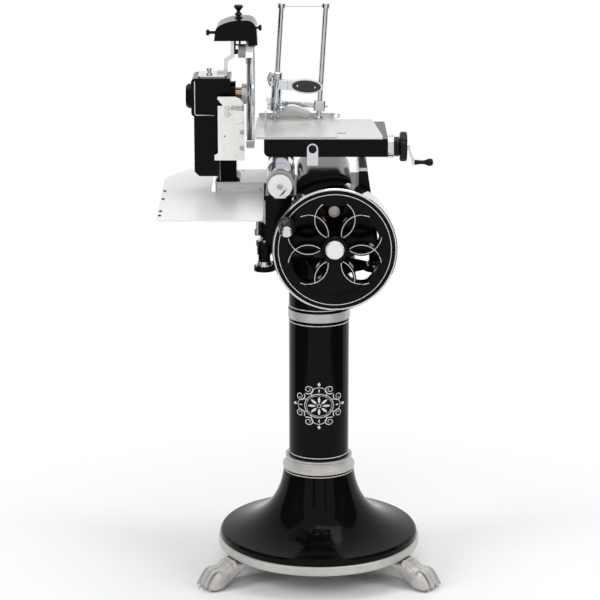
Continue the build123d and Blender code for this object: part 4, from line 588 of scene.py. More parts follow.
@dataclass(frozen=True)
class WheelPaint(Trim):
    """Silver lines on the flywheel: the rim circle and the crossing petal circles on the web and the rim's face."""

    centre: Flat = (0.036, 0.916)
    rim_y: float = -0.252
    web_y: float = -0.248
    rim_r: float = 0.138
    petal_at: float = 0.075
    petal_r: float = 0.049
    line: float = 0.0016
    whole: tuple[float, ...] = (90.0, 30.0, -30.0, -150.0, 150.0)
    swing: Flat = (58.4, 156.3)
    open_side: float = -90.0
    open_swing: Flat = (79.9, 156.3)
    on_rim: Flat = (37.0, 57.0)

    def arc(self, angle: float, start: float, end: float, y: float) -> Piece:
        """Arc of one petal circle, measured from the direction away from the hub.

        Args:
            angle: direction of the circle's centre from the hub, in degrees.
            start: first angle from the outward direction.
            end: last angle.
            y: depth of the face it lies on.

        Returns:
            The painted arc.
        """
        middle = polar(angle, self.petal_at, self.centre)
        flat = polar(angle + np.linspace(start, end, 48), self.petal_r, middle)
        return painted("petal_arc", on_front(flat, y), TO_OPERATOR, self.line)

    def pieces(self) -> Groups:
        """Make the rim circle, and for each petal circle an arc on either side of its outward direction.

        Returns:
            The joined lines, riding on the flywheel.
        """
        rim = polar(np.linspace(0.0, 360.0, 240, endpoint=False), self.rim_r, self.centre)
        lines = [painted("rim_circle", on_front(rim, self.rim_y), TO_OPERATOR, self.line, closed=True)]
        swings = [(angle, self.swing, self.web_y) for angle in self.whole]
        swings += [(angle, self.on_rim, self.rim_y) for angle in self.whole]
        swings.append((self.open_side, self.open_swing, self.web_y))
        for angle, (start, end), y in swings:
            lines += [self.arc(angle, start, end, y), self.arc(angle, -end, -start, y)]
        return [([join("flywheel_lines", lines)], STRIPE, "flywheel")]


@dataclass(frozen=True)
class HousingPaint(Trim):
    """Silver line that edges the bearing block and runs down the blade column."""

    front_y: float = -0.055
    line: float = 0.0019
    block: tuple[Flat, ...] = ((-0.311, 1.300), (-0.311, 1.215), (-0.262, 1.2145))
    corner: float = 0.006
    column: tuple[Flat, ...] = ((-0.0193, 1.205), (-0.0052, 1.150), (0.0075, 1.100), (0.0177, 1.060), (0.0249, 1.032))
    column_x: float = -0.252
    column_rise: float = 0.0008
    column_out: Point = (0.0, -0.97, -0.25)

    def pieces(self) -> Groups:
        """Make both lines; the column's depth is read off between its points (y, z).

        Returns:
            The joined lines, riding on the stand.
        """
        flat = rounded(self.block, self.corner, 6)
        upper = painted("block_line", on_front(flat, self.front_y), TO_OPERATOR, self.line)
        depths, heights = np.asarray(self.column).T
        height = np.linspace(heights[0], heights[-1], 24)
        depth = np.interp(height, heights[::-1], depths[::-1])
        path = np.stack([np.full(len(height), self.column_x), depth, height], axis=1)
        lower = painted("column_line", path, self.column_out, self.line, self.column_rise)
        return [([join("housing_lines", [upper, lower])], STRIPE, "stand")]


# ---------------------------------------------------------------- fastenings and small forms
class Axis(Enum):
    """Which way a small form faces: its directions across, up and out."""

    UP = ((1, 0, 0), (0, 1, 0), (0, 0, 1))
    FRONT = ((1, 0, 0), (0, 0, 1), (0, -1, 0))


@dataclass(frozen=True)
class Head:
    """Round head of a screw, rivet or button: a slightly domed face, a chamfer and, where wanted, a slot.

    The slot is given by its width and its angle in degrees, the dome by the share of the rise that is lost between
    the middle and the rim, and the chamfer, the skirt's top, the sunk foot and the slot's floor by shares too.
    """

    radius: float
    rise: float
    slot: float = 0.0
    turn: float = 0.0
    dome: float = 0.25
    axis: Axis = Axis.FRONT
    chamfer: float = 0.16
    skirt: float = 0.4
    sunk: float = -0.3
    slot_floor: float = 0.35

    def make(self, name: str, place: Point, further: float = 0.0) -> Piece:
        """Make one head from rings round its axis.

        On every ring of radius r the slot's columns open to the angle asin(slot / 2r), and their height stays
        below the slot's floor.

        Args:
            name: the piece's name.
            place: centre of its seat.
            further: degrees by which its slot is turned further.

        Returns:
            The new object.
        """
        share = np.array([0.0, 0.1, 0.25, 0.4, 0.55, 0.7, 0.82, 0.93, 1.0, 1.0, 1.0, 0.0])
        edge = [1.0 - self.dome - self.chamfer, self.skirt, self.sunk, self.sunk]
        height = self.rise * np.append(1.0 - self.dome * share[:-len(edge)] ** 2, edge)
        ring = np.maximum(share * self.radius, 1e-9)
        open_to = np.arcsin(np.minimum(1.0, self.slot / 2 / ring))[:, None]
        side = np.linspace(-1.0, 1.0, 3)
        rest = np.linspace(0.0, 1.0, 17)
        angle = np.concatenate([part for start in (0.0, pi) for part in
                                (start + open_to * side, start + open_to + (pi - 2 * open_to) * rest)], axis=1)
        angle = angle + radians(self.turn + further)
        in_slot = np.tile(np.repeat([self.slot > 0.0, False], [len(side), len(rest)]), 2)
        floor = self.rise * (1.0 - self.dome) * self.slot_floor
        level = np.where(in_slot, np.minimum(height[:, None], floor), height[:, None])
        across, up, out = (np.asarray(v, float) for v in self.axis.value)
        flat = ring[:, None] * (share > 0)[:, None]
        points = (flat * np.cos(angle))[..., None] * across + (flat * np.sin(angle))[..., None] * up
        return surface(name, points + level[..., None] * out + np.asarray(place), smooth=False)

    def row(self, name: str, places: Sequence[Point], step: float = 0.0) -> Piece:
        """Equal heads as one piece, each turned by the step more than the one before."""
        return join(name, [self.make(name, place, k * step) for k, place in enumerate(places)])


def swelling(name: str, half: Flat, rise: float, place: Point, hollow: float, edge: float = np.inf,
             sunk: float = 0.0004) -> Piece:
    """Oval relief on a plate that faces the operator: height (1 - s^6) of the rise, less a dish in the middle.

    Args:
        name: the piece's name.
        half: half its width and half its height.
        rise: height of its rim.
        place: centre on the plate's face.
        hollow: share of the rise taken out of the middle.
        edge: the x that it doesn't pass.
        sunk: how far its back lies in the plate.

    Returns:
        The new object.
    """
    s = np.linspace(0.0, 1.0, 16)[:, None]
    turn = once_round(64)
    height = rise * (1.0 - s ** 6) - rise * hollow * (1.0 - np.minimum(s / 0.8, 1.0) ** 2) ** 2
    x = np.minimum(place[0] + half[0] * s * np.cos(turn), edge)
    z = place[2] + half[1] * s * np.sin(turn)
    points = np.stack([x, place[1] - height + 0 * turn, z], axis=-1)
    back = points[-1:].copy()
    back[..., 1] = place[1] + sunk
    middle = np.broadcast_to(back.mean(axis=1, keepdims=True), back.shape)
    return surface(name, np.concatenate([points, back, middle]))


def scoop(name: str, ends: Flat, half: Flat, rise: float, place: Point, sunk: float = 0.0003) -> Piece:
    """Half cone laid along X on a plate: its section is a half circle flattened to the given rise.

    Args:
        name: the piece's name.
        ends: x of the small and of the large end.
        half: half height at the small and at the large end.
        rise: how far it stands out at the large end.
        place: a point of the plate's face at the middle height.
        sunk: how far its sides lie in the plate.

    Returns:
        The new object.
    """
    t = np.array([0.0, 0.0, 0.04, 0.3, 0.6, 0.9, 1.0, 1.0])[:, None]
    grow = np.array([0.0, 0.7, 1.0, 1.0, 1.0, 1.0, 0.9, 0.0])[:, None]
    turn = np.linspace(0.0, pi, 24)[None, :]
    reach = (half[0] + (half[1] - half[0]) * t) * grow
    depth = rise * (0.6 + 0.4 * t) * grow
    x = ends[0] + (ends[1] - ends[0]) * t + 0 * turn
    return surface(name, np.stack([x, place[1] + sunk - depth * np.sin(turn), place[2] + reach * np.cos(turn)], -1))


def plate(name: str, low: Point, high: Point, radius: float, ease: float = 0.0004) -> Piece:
    """Thin plate that faces the operator: a rectangle with quarter-circle corners and eased edges.

    Args:
        name: the piece's name.
        low: lowest corner.
        high: highest corner.
        radius: corner radius.
        ease: how far the edges are taken back, at most half the thickness.

    Returns:
        The new object.
    """
    low, high = np.asarray(low), np.asarray(high)
    half_x, half_y, half_z = (high - low) / 2
    turn = np.radians(np.linspace(0.0, 90.0, 7))
    corner = np.concatenate([turn + k * pi / 2 for k in range(4)])
    x = np.repeat([1, -1, -1, 1], 7) * (half_x - radius) + radius * np.cos(corner)
    z = np.repeat([1, 1, -1, -1], 7) * (half_z - radius) + radius * np.sin(corner)
    ease = min(ease, half_y)
    share, inset, level = np.array([(0, 0, -1), (1, ease, -1), (1, 0, ease / half_y - 1), (1, 0, 1 - ease / half_y),
                                    (1, ease, 1), (0, 0, 1)])[..., None].transpose(1, 0, 2)
    rows = np.stack([x * share * (1 - inset / half_x), half_y * level + 0 * x, z * share * (1 - inset / half_z)], -1)
    return surface(name, rows + (low + high) / 2, smooth=False)


def tube(name: str, path: np.ndarray, side: np.ndarray, radius: float, tip: float = 0.7) -> Piece:
    """Round bar along a flat path: a circle in the plane of the side direction and the path's normal.

    Args:
        name: the piece's name.
        path: points along the bar's axis.
        side: unit vector square to the plane of the path.
        radius: radius of the bar.
        tip: share of the radius at both ends.

    Returns:
        The new object.
    """
    along = np.gradient(path, axis=0)
    normal = np.cross(along / np.linalg.norm(along, axis=1, keepdims=True), side)
    turn = once_round(24)[..., None]
    size = np.full(len(path), radius)
    size[[0, -1]] = radius * tip
    ring = normal[:, None] * np.cos(turn) + side * np.sin(turn)
    return surface(name, capped(path[:, None] + ring * size[:, None, None]))


@dataclass(frozen=True)
class DeflectorTrim(Trim):
    """Details of the slice deflector: dished oval, half-cone boss, two square screws and rivets."""

    face_y: float = -0.083
    oval: Flat = (-0.2080, 1.2080)
    oval_half: Flat = (0.0225, 0.0118)
    oval_rise: float = 0.0018
    dish: float = 0.75
    edge_x: float = -0.1876
    boss_z: float = 1.2385
    boss_ends: Flat = (-0.2190, -0.1895)
    boss_half: Flat = (0.0050, 0.0088)
    boss_rise: float = 0.0042
    screws: tuple[Flat, ...] = ((-0.1935, 1.1775), (-0.1945, 1.1375))
    screw_half: Flat = (0.0045, 0.0055)
    screw_rise: float = 0.0034
    screw_sunk: float = 0.0002
    screw_corner: float = 0.0014
    tip: Head = Head(0.0026, 0.0012, slot=0.0007, turn=40.0)
    rivets: tuple[Flat, ...] = ((-0.2385, 1.1340), (-0.2080, 1.1180))
    rivet: Head = Head(0.0017, 0.0007)

    def pieces(self) -> Groups:
        """Make the details.

        Returns:
            The enamelled oval and the steel pieces, all riding on the stand.
        """
        oval = swelling("deflector_oval", self.oval_half, self.oval_rise, (self.oval[0], self.face_y, self.oval[1]),
                        self.dish, self.edge_x)
        boss = scoop("deflector_boss", self.boss_ends, self.boss_half, self.boss_rise,
                     (0.0, self.face_y, self.boss_z))
        top_y, seat_y = self.face_y - self.screw_rise, self.face_y + self.screw_sunk
        wide, high = self.screw_half
        screws = [plate("deflector_screw", (x - wide, top_y, z - high), (x + wide, seat_y, z + high),
                        self.screw_corner) for x, z in self.screws]
        screws.append(self.tip.row("deflector_screw_tip", [(x, top_y, z) for x, z in self.screws]))
        rivets = self.rivet.row("deflector_rivets", [(x, self.face_y, z) for x, z in self.rivets])
        return [([oval], CREAM, "stand"), ([boss, join("deflector_screws", screws), rivets], STEEL, "stand")]


@dataclass(frozen=True)
class HandleTrim(Trim):
    """Bright rivets through the dark scales of the clamp's handle."""

    front_y: float = 0.103
    spots: tuple[Flat, ...] = ((-0.0560, 1.2635), (-0.0105, 1.2595))
    rivet: Head = Head(0.0026, 0.0011, dome=0.5)

    def pieces(self) -> Groups:
        """Make the rivets, riding on the clamp."""
        places = [(x, self.front_y, z) for x, z in self.spots]
        return [([self.rivet.row("scale_rivets", places)], CHROME, "clamp")]


@dataclass(frozen=True)
class BarTrim(Trim):
    """Screw and a dark tapered mark on the front cap of the slide bar."""

    centre: Flat = (-0.098, 1.0635)
    cap_y: float = -0.204
    screw: Head = Head(0.0068, 0.0024, slot=0.0016, turn=35.0)
    mark: tuple[Flat, ...] = ((-0.0995, 1.0400), (-0.0905, 1.0470), (-0.0815, 1.0585))
    mark_width: Flat = (0.0004, 0.0030)
    mark_rise: float = 0.0003

    def pieces(self) -> Groups:
        """Make the screw, and the mark as a quadratic curve through its points that swells in the middle.

        Returns:
            The pieces, riding on the stand.
        """
        screw = self.screw.make("bar_cap_screw", (self.centre[0], self.cap_y, self.centre[1]))
        bend = np.asarray(self.mark)
        t = np.linspace(0.0, 1.0, 20)[:, None]
        flat = (1 - t) ** 2 * bend[0] + 2 * t * (1 - t) * bend[1] + t ** 2 * bend[2]
        width = self.mark_width[0] + self.mark_width[1] * np.sin(pi * t[:, 0])
        # a dark tapered mark in iron, beside the screw
        mark = painted("bar_cap_dark_mark", on_front(flat, self.cap_y), TO_OPERATOR, width, self.mark_rise)
        return [([screw], STEEL, "stand"), ([mark], IRON, "stand")]


@dataclass(frozen=True)
class ArmTrim(Trim):
    """Bright plate on the front of the arm below the deck, with its screws, and the screws of the deck."""

    low: Point = (-0.2620, 0.0212, 0.9960)
    high: Point = (-0.1400, 0.0219, 1.0268)
    corner: float = 0.003
    screw_xs: Flat = (-0.2520, -0.1500)
    screw: Head = Head(0.0030, 0.0012, slot=0.0008, turn=30.0)
    deck_spots: tuple[Flat, ...] = ((-0.124, 0.040), (-0.124, 0.112), (-0.198, 0.170), (-0.124, 0.170))
    deck_z: float = 1.0300
    deck_screw: Head = Head(0.0042, 0.0016, slot=0.0010, turn=25.0, axis=Axis.UP)
    deck_step: float = 40.0

    def pieces(self) -> Groups:
        """Make the plate and the screws.

        Returns:
            The pieces, riding on the stand.
        """
        cover = plate("arm_front_plate", self.low, self.high, self.corner)
        z = (self.low[2] + self.high[2]) / 2
        screws = [self.screw.row("arm_screw", [(x, self.low[1], z) for x in self.screw_xs]),
                  self.deck_screw.row("deck_screw", [(*spot, self.deck_z) for spot in self.deck_spots],
                                      self.deck_step)]
        return [([cover], PLATE, "stand"), ([join("arm_screws", screws)], STEEL, "stand")]


@dataclass(frozen=True)
class TrayTrim(Trim):
    """Rubber buttons on the free edge of the slice tray."""

    edge_x: float = -0.3935
    ys: tuple[float, ...] = (-0.205, -0.165, -0.055, 0.020)
    top_z: float = 1.0051
    slope: float = 3.9
    button: Head = Head(0.0040, 0.0032, dome=0.5, axis=Axis.UP)

    def pieces(self) -> Groups:
        """Make the buttons on the tray's slope, riding on the stand."""
        places = [(self.edge_x, y, self.top_z + y * tan(radians(self.slope))) for y in self.ys]
        return [([self.button.row("tray_buttons", places)], GRIP, "stand")]


@dataclass(frozen=True)
class DialTrim(Trim):
    """Ticks of the thickness scale, cut round the dial ring; every fifth one is longer."""

    end_x: float = 0.1855
    centre: Flat = (-0.060, 1.137)
    radius: float = 0.028
    count: int = 30
    fifth: int = 5
    long: float = 0.009
    short: float = 0.0055
    width: float = 0.0007
    rise: float = 0.00015

    def pieces(self) -> Groups:
        """Make the ticks: short dark lines along X at even angles round the ring.

        Returns:
            The joined ticks, riding on the carriage.
        """
        ticks = []
        for k in range(self.count):
            angle = 2 * pi * k / self.count
            out = np.array([0.0, cos(angle), sin(angle)])
            start = self.end_x - (self.short if k % self.fifth else self.long)
            path = np.linspace([start, *self.centre], [self.end_x, *self.centre], 3) + out * self.radius
            ticks.append(painted("tick", path, out, self.width, self.rise))
        return [([join("dial_ticks", ticks)], IRON, "carriage")]


@dataclass(frozen=True)
class ClampTrim(Trim):
    """Rounded lock lever with its heel, and the dished eye of the clamp's knob, leaned with the rods."""

    foot: Point = (-0.114, 0.134, 1.1744)
    tilt: float = 3.5
    pivot: Flat = (0.014, 0.034)
    upper: tuple[Flat, ...] = ((-0.0205, -0.0090), (0.0016, 0.0000), (0.0158, 0.0100), (0.0304, 0.0122),
                               (0.0453, 0.0093), (0.0603, 0.0041), (0.0724, -0.0015), (0.0790, -0.0080))
    lower: tuple[Flat, ...] = ((-0.0205, -0.0190), (0.0015, -0.0215), (0.0159, -0.0172), (0.0335, -0.0162),
                               (0.0484, -0.0185), (0.0618, -0.0212), (0.0715, -0.0200), (0.0785, -0.0110))
    lever_y: float = -0.036
    lever_half: float = 0.0062
    lever_ends: float = 0.72
    eye: Point = (-0.0130, -0.0162, 0.1040)
    eye_half: Flat = (0.0118, 0.0205)
    eye_rise: float = 0.0048
    eye_dish: float = 0.85
    eye_middle: Head = Head(0.0052, 0.0042, dome=0.45)
    heel_at: Point = (-0.0010, -0.0398, 0.0205)
    heel: Head = Head(0.0052, 0.0036, dome=0.4)

    def lean(self, points: np.ndarray | Point) -> np.ndarray:
        """Tilt local points about the left rod's foot, x towards z, and move them to the foot.

        Args:
            points: places from the foot, with the rods upright.

        Returns:
            Their places in the model.
        """
        x, y, z = np.moveaxis(np.asarray(points), -1, 0)
        a = radians(self.tilt)
        return np.stack([x * cos(a) + z * sin(a), y, z * cos(a) - x * sin(a)], axis=-1) + np.asarray(self.foot)

    def lever(self) -> Piece:
        """Make the lever: between its upper and lower edge the section is an ellipse that swells in the middle.

        Returns:
            The new object in place of the flat lever.
        """
        u = np.linspace(0.0, 1.0, 72)[:, None]
        turn = once_round(64)
        at = np.linspace(0.0, 1.0, len(self.upper))
        close = np.sqrt(np.clip(1.0 - np.abs(2.0 * u - 1.0) ** 7, 0.0, 1.0))
        share = 0.5 + 0.5 * np.sin(turn) * close
        x, z = (eased(u, at, low) + (eased(u, at, high) - eased(u, at, low)) * share + start
                for low, high, start in zip(np.transpose(self.lower), np.transpose(self.upper), self.pivot))
        swell = self.lever_ends + (1.0 - self.lever_ends) * np.sin(pi * u)
        y = self.lever_y + self.lever_half * swell * close * np.cos(turn)
        lever = surface("lock_lever_rounded", self.lean(np.stack([x, y, z], axis=-1)))
        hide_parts("lock_lever")
        return lever

    def pieces(self) -> Groups:
        """Make the lever with its heel, and the eye with its middle.

        Returns:
            The pieces on their bodies.
        """
        place = tuple(self.lean(self.eye))
        eye = swelling("clamp_eye", self.eye_half, self.eye_rise, place, self.eye_dish)
        middle = self.eye_middle.make("clamp_eye_boss", place)
        heel = self.heel.make("lock_lever_heel", tuple(self.lean(self.heel_at)))
        return [([self.lever()], SATIN, "lock_lever"), ([heel], CHROME, "lock_lever"),
                ([eye, middle], CHROME, "clamp")]


@dataclass(frozen=True)
class FenceHook(Trim):
    """Small bent clip at the end of the table's fence."""

    points: tuple[Flat, ...] = ((0.0300, 1.1838), (0.0480, 1.1858), (0.0540, 1.1815), (0.0490, 1.1760),
                                (0.0465, 1.1735))
    bend: float = 0.0035
    y: float = 0.1440
    radius: float = 0.0020

    def pieces(self) -> Groups:
        """Make the clip, riding on the table."""
        path = on_front(rounded(self.points, self.bend, 6), self.y)
        return [([tube("fence_clip", path, -TO_OPERATOR, self.radius)], CHROME, "table")]


# ---------------------------------------------------------------- sculpted feet
@dataclass(frozen=True)
class Paws(Trim):
    """Cast paws under the ring: a broad ankle with two folds, knuckles, four toes and their claws.

    Ridges across the paw, and the knuckles, are given as height, place and width.
    """

    angles: tuple[float, ...] = (90.0, 210.0, 330.0)
    stations: tuple[float, ...] = (0.209, 0.235, 0.262, 0.285, 0.306, 0.326, 0.3462)
    tops: tuple[float, ...] = (0.0688, 0.0688, 0.0680, 0.0590, 0.0490, 0.0440, 0.0270)
    bottoms: tuple[float, ...] = (0.0600, 0.0500, 0.0260, 0.0080, -0.0040, -0.0040, -0.0040)
    halves: tuple[float, ...] = (0.0340, 0.0350, 0.0330, 0.0330, 0.0385, 0.0420, 0.0400)
    ridges: tuple[Point, ...] = ((0.0042, 0.2660, 0.0042), (0.0042, 0.2800, 0.0042), (-0.0022, 0.2925, 0.0050))
    knuckles: Point = (0.0030, 0.3160, 0.0090)
    squareness: float = 0.62
    nose_from: float = 0.86
    nose_z: float = 0.011
    toes_from: Flat = (0.296, 0.032)
    toe_pitch: float = 0.0205
    toe_swell: float = 0.0022
    groove: float = 0.0034
    groove_drop: float = 0.0095
    front_round: Flat = (0.0045, 0.031)
    front_draw: float = 0.0075
    claw_length: float = 0.011
    claw_r: float = 0.0046
    claw_inset: float = 0.0065
    claw_z: Flat = (0.0150, 0.0125)

    def front(self, y: np.ndarray | float) -> np.ndarray:
        """How far the toes reach at sideways place y: rounded off to the sides and drawn in at the grooves."""
        depth, wide = self.front_round
        return self.stations[-1] - depth * (y / wide) ** 2 - self.front_draw * self.grooves(y)

    def grooves(self, y: np.ndarray | float) -> np.ndarray:
        """Depth from 0 to 1 of the three grooves between the toes: a bell curve round each."""
        return sum(np.exp(-((y - k * self.toe_pitch) / self.groove) ** 2) for k in (-1.0, 0.0, 1.0))

    def body(self) -> np.ndarray:
        """Points of one paw that reaches along +X.

        Each section is a superellipse between the bottom and top curves. Folds and knuckles raise its upper
        half, grooves between the toes lower it, and the front closes as a quarter ellipse.

        Returns:
            Grid of points, rows from heel to toes, columns round the section.
        """
        u = np.linspace(0.0, 1.0, 104)[:, None]
        c, s = np.cos(once_round(160)), np.sin(once_round(160))
        x = self.stations[0] + (self.stations[-1] - self.stations[0]) * u
        top, bottom, half = (eased(x, self.stations, values) for values in (self.tops, self.bottoms, self.halves))
        ahead = np.clip((u - self.nose_from) / (1.0 - self.nose_from), 0.0, 1.0)
        nose = np.sqrt(np.clip(1.0 - ahead ** 2, 0.0, 1.0))
        top = self.nose_z + (top - self.nose_z) * nose
        bottom = np.where(u > self.nose_from, self.nose_z + (bottom - self.nose_z) * nose, bottom)
        y = half * (0.90 + 0.10 * nose) * np.sign(c) * np.abs(c) ** self.squareness
        z = (top + bottom) / 2 + (top - bottom) / 2 * np.sign(s) * np.abs(s) ** self.squareness
        upper = np.clip(s, 0.0, 1.0) ** 0.5
        toes = np.clip((x - self.toes_from[0]) / self.toes_from[1], 0.0, 1.0)
        toes = toes * toes * (3 - 2 * toes) * nose
        between = self.grooves(y)
        z = z + upper * toes * (self.toe_swell * (1 - between) - self.groove_drop * between)
        for (height, place, width), share in [(self.knuckles, 1 - between), *((ridge, 1.0) for ridge in self.ridges)]:
            z = z + upper * height * np.exp(-((x - place) / width) ** 2) * share
        x = self.stations[0] + (self.front(y) - self.stations[0]) * u
        return np.stack([x, y, np.clip(z, 0.0, self.tops[0])], axis=-1)

    def claw(self, y: float) -> np.ndarray:
        """Points of one claw: a circle carried along a bent path, its radius shrinking to the tip.

        Args:
            y: sideways place of the toe.

        Returns:
            Grid of points, rows along the claw.
        """
        t = np.linspace(0.0, 1.0, 14)[:, None]
        turn = once_round(20)
        x = self.front(y) - self.claw_inset + self.claw_length * t
        z = self.claw_z[0] - self.claw_z[1] * t ** 1.8
        radius = self.claw_r * np.sqrt(np.clip(1.0 - t ** 1.6, 0.0, 1.0))
        return np.stack([x + radius * 0.35 * np.sin(turn), y + radius * np.cos(turn),
                         np.maximum(z + radius * 0.94 * np.sin(turn), 0.0)], axis=-1)

    def pieces(self) -> Groups:
        """Make the paws in place of the plain ones: one paw and its claws, turned to each angle.

        Returns:
            The joined paws, riding on the stand.
        """
        shapes = [("paw", self.body())] + [("claw", self.claw(k * self.toe_pitch)) for k in (-1.5, -0.5, 0.5, 1.5)]
        parts = []
        for a in np.radians(self.angles):
            spin = np.array([[cos(a), sin(a), 0.0], [-sin(a), cos(a), 0.0], [0.0, 0.0, 1.0]])
            parts += [surface(name, capped(points, both=False) @ spin) for name, points in shapes]
        paws = join("claw_feet_sculpted", parts)
        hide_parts("claw_feet")
        return [([paws], SILVER, "stand")]


# ---------------------------------------------------------------- studio
def add_seen(tree: Tree) -> None:
    """Add node "seen", the largest of Is Camera Ray, Is Glossy Ray and Is Transmission Ray.

    Args:
        tree: nodes of the floor or the world.
    """
    add_node(tree, "LightPath", "path")
    add_node(tree, "Math", "through", operation="MAXIMUM")
    add_node(tree, "Math", "seen", operation="MAXIMUM")
    wire(tree, ("path", "Is Glossy Ray", "through", 0), ("path", "Is Transmission Ray", "through", 1),
         ("path", "Is Camera Ray", "seen", 0), ("through", 0, "seen", 1))


@dataclass(frozen=True)
class Lamp:
    """A rectangular softbox: its place, the point it faces, its width and height, and its power in watts."""

    name: str
    place: Point
    aim: Point
    size: Flat
    power: float
    mirrored: bool = True

    def build(self) -> None:
        """Add the lamp to the scene, shown in mirroring surfaces or not."""
        data = bpy.data.lights.new(self.name, "AREA")
        data.shape = "RECTANGLE"
        data.size, data.size_y = self.size
        data.energy = self.power
        lamp = bpy.data.objects.new(self.name, data)
        lamp.location = self.place
        lamp.visible_glossy = self.mirrored
        direction = mathutils.Vector(self.aim) - mathutils.Vector(self.place)
        lamp.rotation_euler = direction.to_track_quat("-Z", "Y").to_euler()
        bpy.context.scene.collection.objects.link(lamp)


@dataclass(frozen=True)
class Card:
    """A black card beside the object, unseen by the camera, that draws dark lines in bright metal."""

    name: str
    place: Point
    size: Point
    colour: Colour = (0.01, 0.01, 0.01, 1.0)

    def build(self) -> None:
        """Stand the card in the scene: a box of its size round its place."""
        corners = np.array([[i, j, k] for i in (-1, 1) for j in (-1, 1) for k in (-1, 1)]) * np.asarray(self.size) / 2
        faces = [(0, 1, 3, 2), (4, 6, 7, 5), (0, 4, 5, 1), (2, 3, 7, 6), (0, 2, 6, 4), (1, 5, 7, 3)]
        card = mesh_object(self.name, corners + np.asarray(self.place), faces)
        black = bpy.data.materials.new(self.name)
        named_shader(black).inputs["Base Color"].default_value = self.colour
        card.data.materials.append(black)
        card.visible_camera = card.visible_shadow = card.visible_diffuse = False


@dataclass(frozen=True)
class Studio:
    """Pale floor, white surroundings, soft lamps, black cards and the camera."""

    floor_half: float = 14.0
    floor_z: float = -0.0005
    floor_colour: Colour = (0.96, 0.96, 0.96, 1.0)
    floor_rough: float = 0.7
    floor_gloss: float = 0.1
    fade: Flat = (0.38, 1.25)
    sky_colour: Colour = (0.93, 0.95, 1.0, 1.0)
    sky_strength: float = 0.34
    white: Colour = (1.0, 1.0, 1.0, 1.0)
    camera_place: Point = (-0.049, -5.478, 2.142)
    camera_pitch: float = 14.5
    sensor: float = 36.0
    lens: float = 132.0
    lamps: tuple[Lamp, ...] = (
        Lamp("left_box", (-3.0, -1.6, 2.0), (0.0, 0.0, 0.9), (1.1, 2.8), 60.0),
        Lamp("right_box", (2.9, -1.3, 1.9), (0.0, 0.0, 0.9), (0.9, 2.8), 44.0),
        Lamp("top_box", (0.2, 0.1, 3.6), (0.0, 0.0, 0.8), (2.4, 2.0), 38.0),
        Lamp("front_box", (-0.4, -4.2, 3.2), (0.0, 0.0, 0.9), (2.2, 1.4), 44.0, mirrored=False),
        Lamp("back_box", (0.3, 4.0, 2.6), (0.0, 0.0, 0.9), (2.2, 1.6), 30.0, mirrored=False))
    cards: tuple[Card, ...] = (
        Card("left_card", (-1.15, -0.5, 1.2), (0.02, 1.5, 2.2)),
        Card("right_card", (1.25, -0.5, 1.2), (0.02, 1.5, 2.2)),
        Card("left_strip", (-0.80, -3.2, 1.3), (0.34, 0.02, 2.6)),
        Card("right_strip", (1.05, -3.0, 1.3), (0.26, 0.02, 2.6)))

    def floor(self) -> None:
        """Make the floor, lit and shadowed near the object and plain white further out.

        The white takes over with the distance from the middle, for seen rays only.
        """
        bpy.ops.mesh.primitive_plane_add(size=2 * self.floor_half, location=(0, 0, self.floor_z))
        floor = bpy.context.object
        floor.name = "floor"
        material = bpy.data.materials.new("floor")
        shader = named_shader(material)
        shader.inputs["Base Color"].default_value = self.floor_colour
        shader.inputs["Roughness"].default_value = self.floor_rough
        shader.inputs["Specular IOR Level"].default_value = self.floor_gloss
        tree = material.node_tree
        add_seen(tree)
        add_node(tree, "TexCoord", "place")
        add_node(tree, "Emission", "white", Strength=1.0)
        add_node(tree, "VectorMath", "away", operation="LENGTH")
        add_node(tree, "MapRange", "reach", interpolation_type="SMOOTHSTEP", From_Min=self.fade[0],
                 From_Max=self.fade[1])
        add_node(tree, "Math", "share", operation="MULTIPLY")
        add_node(tree, "MixShader", "mix")
        wire(tree, ("place", "Object", "away", 0), ("away", "Value", "reach", "Value"),
             ("reach", "Result", "share", 0), ("seen", 0, "share", 1), ("share", 0, "mix", 0),
             ("shader", 0, "mix", 1), ("white", 0, "mix", 2), ("mix", 0, "Material Output", "Surface"))
        floor.data.materials.append(material)

    def world(self) -> None:
        """Light the scene softly and show white behind it to the camera, metal and glass."""
        world = bpy.data.worlds.new("studio")
        bpy.context.scene.world = world
        world.use_nodes = True
        tree = world.node_tree
        add_seen(tree)
        for name, colour, strength in (("dim", self.sky_colour, self.sky_strength), ("white", self.white, 1.0)):
            add_node(tree, "Background", name, Color=colour, Strength=strength)
        add_node(tree, "MixShader", "mix")
        wire(tree, ("seen", 0, "mix", 0), ("dim", 0, "mix", 1), ("white", 0, "mix", 2),
             ("mix", 0, "World Output", "Surface"))

    def camera(self) -> None:
        """Place the camera at the viewing angle of the studio picture."""
        data = bpy.data.cameras.new("camera")
        data.sensor_width = self.sensor
        data.lens = self.lens
        camera = bpy.data.objects.new("camera", data)
        camera.location = self.camera_place
        camera.rotation_euler = (radians(90.0 - self.camera_pitch), 0.0, 0.0)
        bpy.context.scene.collection.objects.link(camera)
        bpy.context.scene.camera = camera

    def build(self) -> None:
        """Set up the whole studio."""
        self.floor()
        self.world()
        for thing in self.lamps + self.cards:
            thing.build()
        self.camera()
        bpy.context.scene.view_settings.view_transform = "Standard"


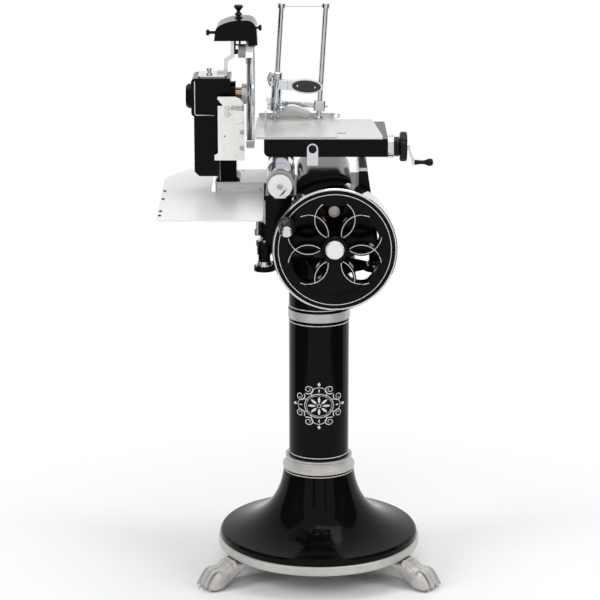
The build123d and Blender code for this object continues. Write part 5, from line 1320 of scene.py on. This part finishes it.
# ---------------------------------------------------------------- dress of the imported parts
PACKED = {
    SILVER: ("claw_feet", "base_ring", "column_bands", "slide_bar_supports"),
    CHROME: ("foot_cups", "slide_bar", "flywheel_rim_band", "handle_pin", "housing_top_plate", "carriage_runners",
             "dial_ring", "feed_screw", "release_lever", "clamp_rods", "clamp_slider", "toothed_plate",
             "clamp_handle", "lock_lever", "deflector_bracket", "sharpener_post"),
    STEEL: ("stand_bolts", "guide_rail", "flywheel_shaft", "blade_shaft", "blade_hub", "tray_bracket",
            "rail_roller", "lay_shaft", "cross_shaft", "drive_chain"),
    ENAMEL: ("pedestal_base", "column_tube", "stand_head", "machine_base", "flywheel", "blade_housing",
             "housing_cap", "sharpener_cover", "carriage_body"),
    PLATE: ("deck_plate", "carriage_top", "meat_table"),
    GRIP: ("flywheel_grip", "sharpener_knob", "honing_knob", "grinding_knob", "thickness_wheel",
           "feed_crank_grip", "release_knob"),
    BLADE: ("slicing_blade",),
    CREAM: ("slice_deflector",),
    TRAY_WHITE: ("slice_tray",),
    HORN: ("handle_scales",),
    GUARD: ("blade_guard",),
    TURNED: ("flywheel_hub_cap",),
    CAP_FACE: ("slide_bar_caps",),
    IRON: ("drive_gear",),
    STONE: ("grinding_stone", "honing_stone"),
    BRONZE: ("shaft_bushes",),
}


def dress_packed(palette: Palette) -> None:
    """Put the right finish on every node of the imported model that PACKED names.

    Args:
        palette: the built finishes.
    """
    for finish, names in PACKED.items():
        for name in names:
            palette.dress(bpy.data.objects[name], finish)
            LOG.info("dressed %s in %s", name, finish.name)


def main() -> None:
    """Build the studio, the finishes and every added piece."""
    logging.basicConfig(level=logging.INFO, format="%(message)s")
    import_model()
    palette = Palette()
    Studio().build()
    dress_packed(palette)
    for part in (Paws(), ColumnPaint(), WheelPaint(), HousingPaint(), DeflectorTrim(), HandleTrim(), ClampTrim(),
                 FenceHook(), BarTrim(), ArmTrim(), TrayTrim(), DialTrim()):
        for piece in part.build(palette):
            LOG.info("built %s", piece.name)


if __name__ == "__main__":
    main()
